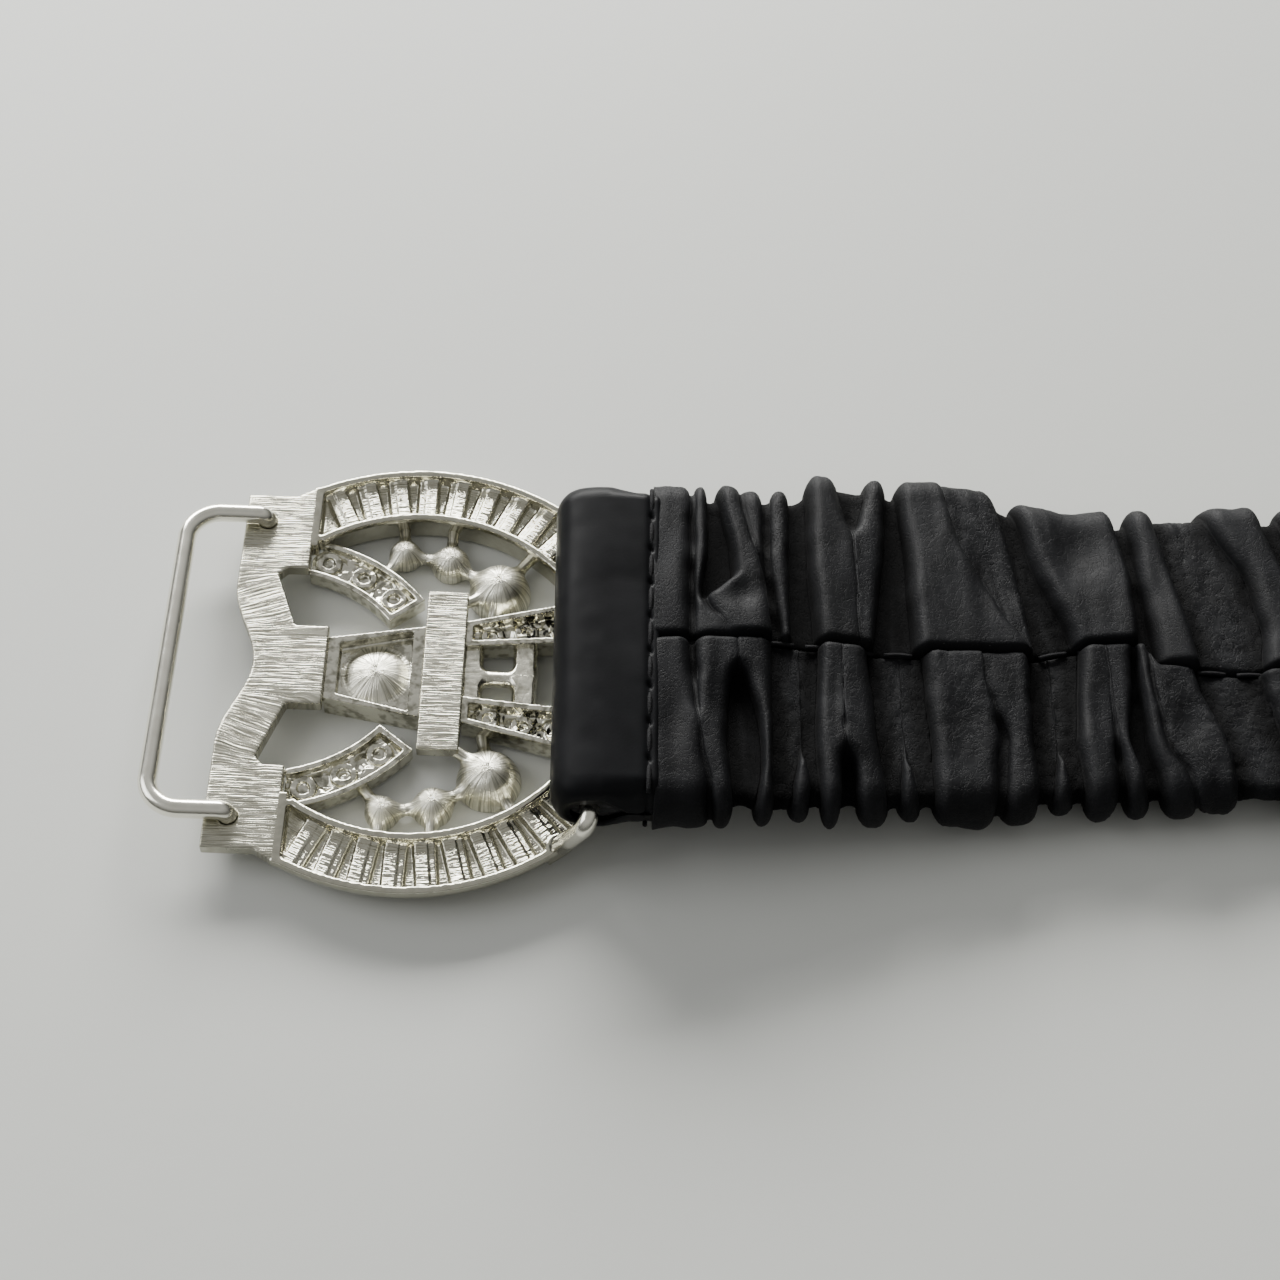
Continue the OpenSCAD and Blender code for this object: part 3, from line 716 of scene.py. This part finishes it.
# Each line of a half runs from the seam out to the strap's edge, as (distance from the seam, x).
# A fold lies between two lines; height 1 is a full fold and 0 the bottom of a valley. Where two
# lines meet, the fold or valley between them has run out.
UPPER_FOLDS = [
    # line on the fold's left, height, grain
    ([(0, 21.6)], 0.98, 0.0),
    ([(0, 24.9), (18, 25.0)], 0.15, 0.2),
    ([(0, 25.3), (18, 25.4)], 0.88, 0.0),
    ([(0, 28.4), (1.5, 28.0), (2.8, 26.9), (3.6, 26.1), (5, 26.0), (9.8, 26.7), (18, 26.7)], 0.1, 0.2),
    ([(0, 28.5), (1.6, 28.2), (2.8, 27.2), (4, 26.5), (5.3, 26.4), (6.3, 28.9), (9.7, 28.7), (18, 27.2)],
     0.96, 0.1),
    ([(0, 32.4), (6.2, 31.8), (10.6, 30.7), (18, 29.2)], 0.35, 0.3),
    ([(0, 32.5), (6.2, 31.9), (10.6, 30.9), (18, 29.6)], 0.82, 0.1),
    ([(0, 32.6), (5, 32.1), (9.7, 31.9), (18, 31.9)], 0.22, 0.5),
    ([(0, 33.3), (4.4, 32.8), (9.7, 32.4), (18, 32.7)], 0.78, 0.3),
    ([(0, 34.3), (8, 34.3), (18, 34.7)], 0.02, 0.4),
    ([(0, 36.4), (8, 36.0), (18, 36.0)], 1.0, 0.05),
    ([(0, 40.6), (10.7, 40.4), (15.5, 39.3), (18, 39.1)], 0.4, 0.9),
    ([(0, 40.6), (10.7, 40.5), (15.5, 42.0), (18, 41.7)], 0.94, 0.25),
    ([(0, 42.0), (4, 42.6), (8.3, 43.5), (18, 44.4)], 0.02, 0.4),
    ([(0, 45.6), (8, 45.6), (18, 45.0)], 1.0, 0.1),
    ([(0, 57.1), (2.7, 55.0), (10.5, 50.7), (18, 49.2)], 0.8, 0.6),
    ([(0, 57.2), (4, 57.1), (8.6, 56.6), (13, 55.8), (18, 54.6)], 0.16, 0.8),
    ([(0, 61.0), (4.5, 59.9), (8.6, 58.3), (15, 56.9), (18, 56.3)], 1.0, 0.15),
    ([(0, 67.4), (8.5, 67.5), (15.6, 66.6), (18, 66.4)], 0.08, 0.3),
    ([(0, 68.6), (8.5, 68.2), (18, 67.6)], 0.96, 0.05),
    ([(0, 72.7), (3.8, 72.3), (8.5, 71.5), (14.6, 70.5), (18, 70.2)], 0.45, 0.9),
    ([(0, 78.6), (3.9, 79.2), (9.5, 78.6), (14.7, 75.8), (18, 74.6)], 1.0, 0.1),
    ([(0, 83.2), (9, 82.6), (18, 80.5)], 0.15, 0.6),
    ([(0, 84.4), (9, 83.8), (18, 82.6)], 0.9, 0.1),
]
LOWER_FOLDS = [
    ([(0, 21.6), (18, 21.9)], 0.97, 0.05),
    ([(0, 24.8), (10.9, 25.7), (15.7, 26.4), (18, 26.8)], 0.15, 0.2),
    ([(0, 25.3), (10.9, 25.9), (17, 27.1)], 0.95, 0.1),
    ([(0, 29.3), (2.7, 29.3), (5, 28.6), (11, 28.2), (17, 28.9)], 0.18, 0.3),
    ([(0, 29.3), (2.7, 29.4), (5, 30.3), (8.5, 31.1), (13.6, 31.3), (17.6, 30.4)], 0.88, 0.15),
    ([(0, 32.5), (11, 32.3), (18, 32.3)], 0.26, 0.9),
    ([(0, 34.9), (11, 34.9), (14, 34.2), (18, 33.6)], 0.8, 0.2),
    ([(0, 34.9), (11, 35.0), (14, 35.6), (18, 35.6)], 0.2, 0.6),
    ([(0, 36.7), (11, 36.1), (18, 36.6)], 0.98, 0.15),
    ([(0, 38.8), (11, 38.7), (13, 38.6), (18, 38.4)], 0.12, 0.4),
    ([(0, 38.8), (11, 38.8), (13, 39.4), (18, 39.9)], 0.92, 0.15),
    ([(0, 41.4), (10.8, 41.9), (18, 42.9)], 0.3, 0.9),
    ([(0, 44.3), (11.5, 44.3), (14, 43.9), (18, 43.6)], 0.78, 0.3),
    ([(0, 44.3), (11.5, 44.4), (14, 45.0), (18, 45.9)], 0.28, 0.9),
    ([(0, 46.4), (11.3, 46.8), (18, 46.9)], 0.98, 0.3),
    ([(0, 52.0), (4, 52.1), (9.8, 53.2), (18, 52.3)], 0.55, 0.4),
    ([(0, 52.0), (4, 52.2), (9.8, 54.0), (18, 53.2)], 0.92, 0.3),
    ([(0, 56.7), (11, 56.4), (18, 56.6)], 0.25, 0.9),
    ([(0, 58.6), (11.5, 58.6), (14, 58.1), (18, 57.6)], 0.75, 0.3),
    ([(0, 58.6), (11.5, 58.7), (14, 59.2), (18, 60.0)], 0.3, 0.8),
    ([(0, 61.4), (11.2, 60.3), (18, 60.9)], 0.98, 0.15),
    ([(0, 63.8), (8, 63.8), (18, 63.6)], 0.25, 0.3),
    ([(0, 63.8), (8, 63.9), (12, 64.2), (18, 64.5)], 0.94, 0.15),
    ([(0, 66.3), (3.9, 66.2), (11.3, 65.2), (18, 67.0)], 0.12, 0.4),
    ([(0, 66.6), (5.3, 66.8), (11.3, 66.9), (18, 67.9)], 0.92, 0.1),
    ([(0, 67.6), (4.8, 67.8), (11.3, 68.4), (18, 71.3)], 0.4, 0.3),
    ([(0, 67.9), (4.8, 68.1), (11.3, 68.8), (18, 71.8)], 0.9, 0.45),
    ([(0, 72.2), (3.9, 72.7), (12, 74.6), (18, 74.8)], 0.34, 0.9),
    ([(0, 78.2), (10, 79.4), (18, 79.8)], 0.95, 0.15),
    ([(0, 82.6), (18, 83.6)], 0.15, 0.6),
    ([(0, 83.6), (18, 84.4)], 0.9, 0.1),
]
# Shallow hollows pressed into the folds: x, distance from the seam, half length, half width, depth
UPPER_HOLLOWS = [(62.5, 11.5, 2.8, 4.0, 0.3), (53.5, 7.0, 2.2, 3.5, 0.18), (29.6, 4.5, 1.6, 1.5, 0.15),
                 (47.5, 13.0, 1.5, 4.0, 0.1), (69.8, 8.0, 1.0, 5.0, 0.1)]
LOWER_HOLLOWS = [(50.0, 9.0, 2.0, 5.0, 0.16), (37.9, 6.0, 0.9, 4.0, 0.14), (27.4, 6.5, 0.9, 3.0, 0.14),
                 (62.3, 7.0, 1.2, 4.0, 0.14), (70.5, 8.0, 1.5, 4.0, 0.15), (23.4, 9.0, 1.0, 4.0, 0.1)]
# The seam and the strap's two edges: x and the distance from the strap's middle line
SEAM = [(22, -0.2), (32, -0.3), (42, -1.2), (57, -1.2), (60, -0.6), (67.5, -0.2), (68.6, -2.6),
        (78, -3.2), (86, -2.6)]
UPPER_EDGE = [(22, 17.5), (33, 17.3), (37, 18.6), (54, 18.9), (57, 16.8), (60, 15.6), (80, 15.9), (86, 16.8)]
LOWER_EDGE = [(22, -17.1), (34, -17.7), (47, -17.2), (60, -16.7), (80, -16.3), (86, -16.9)]
CORE = 0.65           # half the strap's thickness at the bottom of a valley
ROW_STEP = 0.32       # between the mesh's rows across the strap


def along(points, where):
    """The second number of a list of pairs, read off at where by the first."""
    return np.interp(where, [p[0] for p in points], [p[1] for p in points])


def softened_line(points, out, number):
    """A fold's line, with its corners eased and a slight wander."""
    shifts = np.linspace(-0.9, 0.9, 7)
    eased = np.mean([along(points, np.clip(out + shift, 0, None)) for shift in shifts], axis=0)
    return eased + 0.1 * value_noise(out * 0.55, np.full_like(out, number * 3.3), 61)


def column_shares(width):
    """Steps across a fold, closest at its sides where it turns down."""
    even = np.linspace(0, 1, max(10, int(width / 0.27)))
    return (1 - np.cos(math.pi * even)) / 2 * 0.75 + even * 0.25


def smooth(share):
    """From 0 at 0 to 1 at 1, level at both ends."""
    share = np.clip(share, 0, 1)
    return share * share * (3 - 2 * share)


def fold_heights(folds, out):
    """For each point of a half, its x, its height from 0 to 1 and its grain."""
    lines = [softened_line(f[0], out, n) for n, f in enumerate(folds)] + [np.full_like(out, SLEEVE_END)]
    levels = [f[1] for f in folds]
    heights = [np.full_like(out, level) for level in levels]
    for n in range(1, len(folds) - 1):
        opened = smooth((lines[n + 1] - lines[n] - 0.05) / 0.9)
        valley = levels[n] < min(levels[n - 1], levels[n + 1])
        shut = (min if valley else max)(levels[n - 1], levels[n + 1])
        if valley or levels[n] > shut:
            heights[n] = shut + (levels[n] - shut) * opened
    xs, hs, grains = [], [], []
    for n, fold in enumerate(folds):
        left, right = lines[n], np.maximum(lines[n + 1], lines[n] + 0.02)
        width = (right - left)[:, None]
        share = column_shares(float(np.max(width)))[None, :]
        x = left[:, None] + width * share
        before = heights[n - 1] if n else heights[n]
        after = heights[n + 1] if n + 1 < len(folds) else heights[n] * 0.7
        level = heights[n][:, None] * np.ones_like(share)
        # a fold leans one way or the other, and its sides turn down into the valleys
        lean = 0.1 * math.sin(n * 2.4) * smooth((width - 1.0) / 3.0)
        level = level + lean * (share - 0.5) * (levels[n] > 0.7)
        for gap, other, reach in ((x - left[:, None], before, 1.5), (right[:, None] - x, after, 1.2)):
            drop = np.maximum(heights[n] - other, 0)[:, None]
            near = np.clip(1 - gap / np.maximum(np.minimum(reach, 0.49 * width), 1e-3), 0, 1)
            level = level - drop * (1 - np.sqrt(np.clip(1 - near ** 2.2, 0, 1)))
            # valley floors rise softly to meet a fold's foot
            level = level + 0.12 * np.maximum(other - heights[n], 0)[:, None] * near ** 2
        xs.append(x)
        hs.append(level)
        grains.append(np.full_like(x, fold[2]) * smooth((width - 0.1) / 0.8))
    return [np.concatenate(parts, 1) for parts in (xs, hs, grains)]


def painted_shade_between_folds(x, height):
    """From 0 on top of a fold to 1 where a higher fold stands close by. The leather's colour is darkened by
    it as painted shade in the crevices.
    """
    even = np.arange(SLEEVE_END - 70, SLEEVE_END + 2, 0.1)
    painted_crevice_shade = np.zeros_like(height)
    for row in range(len(x)):
        level = np.interp(even, x[row], height[row])
        rim = level.copy()
        for steps in range(1, 25):
            beside = 1 - (steps / 25) ** 3
            for turned in (steps, -steps):
                rim = np.maximum(rim, level + (np.roll(level, turned) - level) * beside)
        painted_crevice_shade[row] = np.interp(x[row], even, rim - level)
    return np.clip(painted_crevice_shade * 2.2 - 0.15, 0, 1)


def worked(height, x, out, grain, hollows, top, side):
    """Fold heights with hollows, soft ripples and slanting creases, and each lobe's own swell."""
    for hx, ho, length, width, depth in hollows:
        height = height - depth * np.exp(-((x - hx) / length) ** 2 - ((out - ho) / width) ** 2) * top
    height = height + 0.035 * value_noise(x * 0.8, out * 0.22, 3 + side)
    ripple = value_noise(x * 1.5 + out * 0.35, out * 0.35 - x * 0.2, 8 + side)
    height = height - 0.07 * (1 - np.abs(ripple)) ** 5 * np.clip(grain * 1.3, 0.05, 1)
    height = height + 0.02 * value_noise(x * 1.9, out * 1.4, 14 + side) * grain
    return height, 0.1 * value_noise(x * 0.55, out * 0.1, 25 + side)


def half_sleeve(folds, hollows, edge, side):
    """One of the two gathered rolls: over the top from the seam, round the edge and back below.
    Returns its points, faces, grain, and how deep each point lies between folds, which darkens the leather
    as painted shade."""
    flat, turn = 14.6, 5.4     # how far the leather runs on top, and how far round the edge
    rows = int((2 * flat + turn) / ROW_STEP)
    run = np.linspace(0, 2 * flat + turn, rows)
    out = np.interp(run, [0, flat, flat + turn * 0.6, flat + turn, 2 * flat + turn], [0, flat, 17.6, 18, 14])
    x, height, grain = fold_heights(folds, out)
    out, run = out[:, None], run[:, None]
    angle = math.pi * np.clip((run - flat) / turn, 0, 1)
    top = run < flat + turn / 2
    seam_y = along(SEAM, x)
    half_t = (strap_top(x) - strap_bottom(x)) / 2 - 0.12
    reach = np.abs(along(edge, x) - seam_y)
    inner = reach - half_t * 0.85
    going, returning = np.clip(run / flat, 0, 1), 1 - np.clip((run - flat - turn) / flat, 0, 1)
    from_seam = inner * np.where(top, going, returning)
    height, lobe = worked(height, x, out + 0 * x, grain, hollows, top, side)
    # the leather dives into the seam
    width = 0.55 if side > 0 else 0.4
    dive = np.clip(1 - from_seam / width, 0, 1)
    height = height - 0.6 * (1 - np.sqrt(np.clip(1 - dive ** 2, 0, 1)))
    at_edge = np.sin(angle)
    # painted shade for the crevices beside higher folds
    painted_crevice_shade = painted_shade_between_folds(x, height)
    height = height - 0.35 * np.clip(height, 0, 1) * np.clip(1 - height, 0, 1)
    full = np.clip(height + lobe * at_edge, -0.05, 1.15)
    radius = CORE + (half_t - CORE) * full
    # the whole strap is fuller in its middle than near its edges
    crown = 1 - 0.1 * np.clip(from_seam / np.maximum(inner, 1), 0, 1) ** 3 * (1 - at_edge)
    up = np.cos(angle) * radius * crown
    sideways = at_edge * (half_t * 0.25 + 0.85 * radius)
    y = drift(x) + seam_y + side * (from_seam + sideways)
    z = np.maximum((strap_top(x) + strap_bottom(x)) / 2 + up, 0.03)
    points = np.stack([x, y, z], -1)
    columns = x.shape[1]
    faces = grid_faces(rows, columns, wrap_rows=True)
    start, end = (tuple(range(first, rows * columns, columns)) for first in (0, columns - 1))
    if side > 0:
        faces, start = faces[:, ::-1], start[::-1]
    else:
        end = end[::-1]
    # painted shade also darkens the leather where it dives into the seam
    painted_crevice_shade = np.clip(painted_crevice_shade + dive * 0.6, 0, 1)
    return points.reshape(-1, 3), faces.tolist() + [start, end], grain.ravel(), painted_crevice_shade.ravel()


def make_sleeve(material):
    """The gathered leather cover, its two rolls in one piece, stretching with the strap."""
    upper = half_sleeve(UPPER_FOLDS, UPPER_HOLLOWS, UPPER_EDGE, 1)
    lower = half_sleeve(LOWER_FOLDS, LOWER_HOLLOWS, LOWER_EDGE, -1)
    points = np.concatenate([upper[0], lower[0]])
    faces = upper[1] + [tuple(v + len(upper[0]) for v in f) for f in lower[1]]
    piece = new_piece("gathered_sleeve", points, faces, None, material, ["ruched_sleeve"])
    set_attribute(piece, "grain", np.concatenate([upper[2], lower[2]]))
    # the painted shade of the crevices and the seam, for the leather's colour
    set_attribute(piece, "painted_crevice_shade", np.concatenate([upper[3], lower[3]]))
    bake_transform(piece)


def superloop(share, width, depth, power):
    """A point on a rounded rectangle of the given half sizes; share runs once round it."""
    turn = 2 * math.pi * share
    c, s = np.cos(turn), np.sin(turn)
    return (np.sign(c) * np.abs(c) ** (2 / power) * width, np.sign(s) * np.abs(s) ** (2 / power) * depth)


def shell(outer, inner):
    """A wall between two grids of loops, open at both ends. Both are arrays of rows, columns and 3."""
    rows, columns = outer.shape[:2]
    count = rows * columns
    faces = grid_faces(rows, columns, wrap_columns=True).tolist()
    faces += grid_faces(rows, columns, wrap_columns=True, first=count)[:, ::-1].tolist()
    for row, turned in ((0, False), (rows - 1, True)):
        for k in range(columns):
            a, b = row * columns + k, row * columns + (k + 1) % columns
            quad = (a, a + count, b + count, b)
            faces.append(quad[::-1] if turned else quad)
    return np.concatenate([outer.reshape(-1, 3), inner.reshape(-1, 3)]), faces


def tab_loops(inset, half_w, rows, columns):
    """The tab's loops, one for each step across the strap, drawn in by inset."""
    share = np.linspace(0, 1, columns, endpoint=False)[None, :]
    across = np.linspace(-1, 1, rows)[:, None]
    start_x, end_x = BAR_X - FOLD_R, TAB_END + 0.3
    half_l = (end_x - start_x) / 2
    # the ends of the fold are pressed in a little, so that the tab's corners are round
    ends = np.clip((np.abs(across) - 0.88) / 0.12, 0, 1)
    round_off = np.sqrt(np.clip(1 - ends ** 2, 0, 1))
    bend = superloop(share, half_l - inset, FOLD_R - inset, 2.7)
    sewn = superloop(share, half_l - inset, FOLD_R - inset, 9.0)
    px, pz = (np.where(bend[0] > 0, sewn[k], bend[k]) for k in (0, 1))
    # beyond the bar the two layers close on each other
    open_end = 0.66 - 0.62 * smooth(((start_x + end_x) / 2 + px - BAR_X - 1.3) / 2.2)
    pz = pz * (open_end + (1 - open_end) * round_off)
    px = px + np.where(px < 0, 0.9 * ends ** 2 * -px / half_l, 0)
    # the fold leans a little, so that it reaches further towards the ring at its upper end
    px = px - np.where(px < 0, 0.22 * (across + 1) * -px / half_l, 0)
    return (start_x + end_x) / 2 + px, across * half_w + 0 * px, pz


def make_tab(material):
    """Smooth leather folded round the bail and stitched through, open at its two ends."""
    rows, columns = 170, 160
    x, y, pz = tab_loops(0, TAB_HALF, rows, columns)
    swell = 0.1 * value_noise(x * 0.3, y * 0.2, 41) + 0.03 * value_noise(x * 0.9, y * 0.7, 42)
    furrow = np.exp(-((x - STITCH_X) / 0.38) ** 2)
    beside = np.abs((y / STITCH_PITCH + 0.5) % 1 - 0.5) * STITCH_PITCH     # from a stitch's middle
    hole = np.exp(-((x - STITCH_X) / 0.22) ** 2) * np.clip((beside - 1.35) / 0.4, 0, 1)
    z = BAR_Z + pz + np.sign(pz) * (swell * 0.5 - 0.22 * furrow - 0.3 * hole)
    z = np.clip(z, BAR_Z - FOLD_R - 0.05, BAR_Z + FOLD_R + 0.12)
    inner_x, inner_y, inner_z = tab_loops(1.1, TAB_HALF, rows, columns)
    points, faces = shell(np.stack([x, y, z], -1), np.stack([inner_x, inner_y, BAR_Z + inner_z], -1))
    new_piece("folded_tab", points, faces, "strap", material, ["tab_leather"])


def make_elastic_loop(material):
    """The folded band inside the tab, with a round way through it for the bail's bar."""
    rows, columns = 90, 96
    x, y, pz = tab_loops(1.15, 16.2, rows, columns)
    angle = np.arctan2(pz, (x - BAR_X) * 0.7)
    ribs = 0.06 * np.cos(y * 2 * math.pi / 1.1)
    outer = np.stack([x, y, BAR_Z + pz * (1 - np.abs(ribs) / FOLD_R)], -1)
    inner = np.stack([BAR_X + BORE_R * np.cos(angle), y, BAR_Z + BORE_R * np.sin(angle)], -1)
    points, faces = shell(outer, inner)
    new_piece("elastic_fold", points, faces, "strap", material, ["elastic_loop"])


def make_elastic_core(material):
    """The elastic band inside the leather, drawn thin where the gathers are pulled down on to it."""
    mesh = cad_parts["elastic_core"].data.copy()
    points = mesh_points(mesh)
    middle = (strap_top(points[:, 0]) + strap_bottom(points[:, 0])) / 2
    points[:, 2] = middle + (points[:, 2] - middle) * 0.5
    centre = drift(points[:, 0])
    points[:, 1] = centre + (points[:, 1] - centre) * 0.84
    move_points(mesh, points)
    piece = dress(bpy.data.objects.new("elastic_band", mesh), None, material,
                  ["elastic_core"], False)
    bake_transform(piece)


def stitch_run(stitches, radius):
    """Points and faces of many short thread stitches, each from a to b and bowed upwards."""
    points, faces = [], []
    for a, b, up in stitches:
        a, b = np.array(a, float), np.array(b, float)
        share = np.linspace(0, 1, 9)
        path = a + (b - a) * share[:, None] + np.outer(np.sin(math.pi * share), up)
        ring, quads = tube(path, radius, 10)
        first = sum(len(p) for p in points)
        points.append(ring)
        faces += [tuple(v + first for v in f) for f in quads]
    return np.concatenate(points), faces


def make_tab_stitches(material):
    """The line across the tab, with a stitch above and below at each place."""
    stitches = []
    for number in range(-4, 5):
        y = number * STITCH_PITCH
        for up in (1, -1):
            z = BAR_Z + up * (FOLD_R - 0.55)
            stitches.append(((STITCH_X, y - 1.4, z), (STITCH_X, y + 1.4, z), (0, 0, up * 0.34)))
    points, faces = stitch_run(stitches, 0.21)
    new_piece("tab_thread", points, faces, "strap", material, ["tab_stitches"])


def make_seam_stitches(material):
    """The line along the seam, which stretches with the sleeve."""
    stitches = []
    for number in range(16):
        x = TAB_END + 2.5 + STITCH_PITCH * number
        ends = [(at, drift(at) + along(SEAM, at), strap_top(at) - 2.1) for at in (x, x + 2.6)]
        stitches.append((*ends, (0, 0, 0.15)))
    points, faces = stitch_run(stitches, 0.2)
    piece = new_piece("seam_thread", points, faces, None, material, ["seam_stitches"])
    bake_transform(piece)


def make_end_tab(material):
    """Smooth leather folded over the strap's end, with a groove where it is stitched."""
    low, high = box_mm("end_tab")
    rows, columns = 120, 80
    share = np.linspace(0, 1, columns, endpoint=False)[None, :]
    across = np.linspace(-1, 1, rows)[:, None]
    ends = np.clip((np.abs(across) - 0.9) / 0.1, 0, 1)
    pinch = np.sqrt(np.clip(1 - ends ** 2, 0, 1)) * 0.5 + 0.5
    middle, (half_l, half_w, half_t) = (low + high) / 2, (high - low) / 2
    px, pz = superloop(share, half_l, half_t * pinch, 3.0)
    y = middle[1] + across * half_w + 0 * px
    x = middle[0] + px + 0 * y
    groove = np.exp(-((x - low[0] - 1.4) / 0.32) ** 2)
    z = low[2] + half_t + pz * (1 - 0.12 * groove) + 0.05 * value_noise(x * 0.4, y * 0.3, 51)
    z = np.clip(z, 0.02, high[2])
    points = np.stack([x, y, z], -1).reshape(-1, 3)
    faces = grid_faces(rows, columns, wrap_columns=True).tolist()
    faces += [tuple(range(columns))[::-1], tuple((rows - 1) * columns + k for k in range(columns))]
    new_piece("end_hem", points, faces, "strap_end", material, ["end_tab"])


def make_end_stitches(material):
    """The line of stitches across the end tab."""
    low, high = box_mm("end_stitches")
    middle, z = (low + high) / 2, high[2] - 0.85
    stitches = []
    for number in range(-4, 5):
        y = middle[1] + number * STITCH_PITCH
        stitches.append(((middle[0], y - 1.3, z), (middle[0], y + 1.3, z), (0, 0, 0.25)))
    points, faces = stitch_run(stitches, 0.24)
    new_piece("end_thread", points, faces, "strap_end", material, ["end_stitches"])


# ---- Build ----

make_camera()
make_light()

table_mesh = bpy.data.meshes.new("table_top")
table_mesh.from_pydata([(-3, -3, -1e-5), (3, -3, -1e-5), (3, 3, -1e-5), (-3, 3, -1e-5)], [], [(0, 1, 2, 3)])
table = bpy.data.objects.new("table_top", table_mesh)
table.data.materials.append(floor_material())
show(table)

cast = cast_metal()
ring_plating = ring_metal()
plate_metal = brushed_metal("brushed_plate", True, 7.0)
bar_metal = brushed_metal("brushed_bar", False, 7.0)
wire = wire_metal()
folded_leather = leather("black_leather")
flat_leather = smooth_leather()
black_thread = thread()
elastic = webbing()
glass = crystal()

cast_node("side_plate", plate_metal, 0.12, 5)
cast_node("centre_bar", bar_metal, 0.11, 3)
cast_node("ring_channel", ring_plating, 0.165, 2, ring_shape)
for half_name in ("upper", "lower"):
    for setting in (half_name + "_arc_setting", half_name + "_row_setting"):
        cast_node(setting, cast, 0.1, 3, seat_shape(setting))
    make_cluster(1 if half_name == "upper" else -1, cast)
cast_node("square_setting", cast, 0.1, 3, None, 1.0, 0.95)
make_bridge(cast)
make_left_bail(wire)
make_right_bail(wire)

for stones in ("ring_stones", "arc_stones", "centre_stone", "row_stones", "large_beads", "small_beads"):
    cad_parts[stones].data.materials.clear()
    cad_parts[stones].data.materials.append(glass)

make_tab(flat_leather)
make_elastic_loop(elastic)
make_elastic_core(elastic)
make_sleeve(folded_leather)
make_tab_stitches(black_thread)
make_seam_stitches(black_thread)
make_end_tab(flat_leather)
make_end_stitches(black_thread)
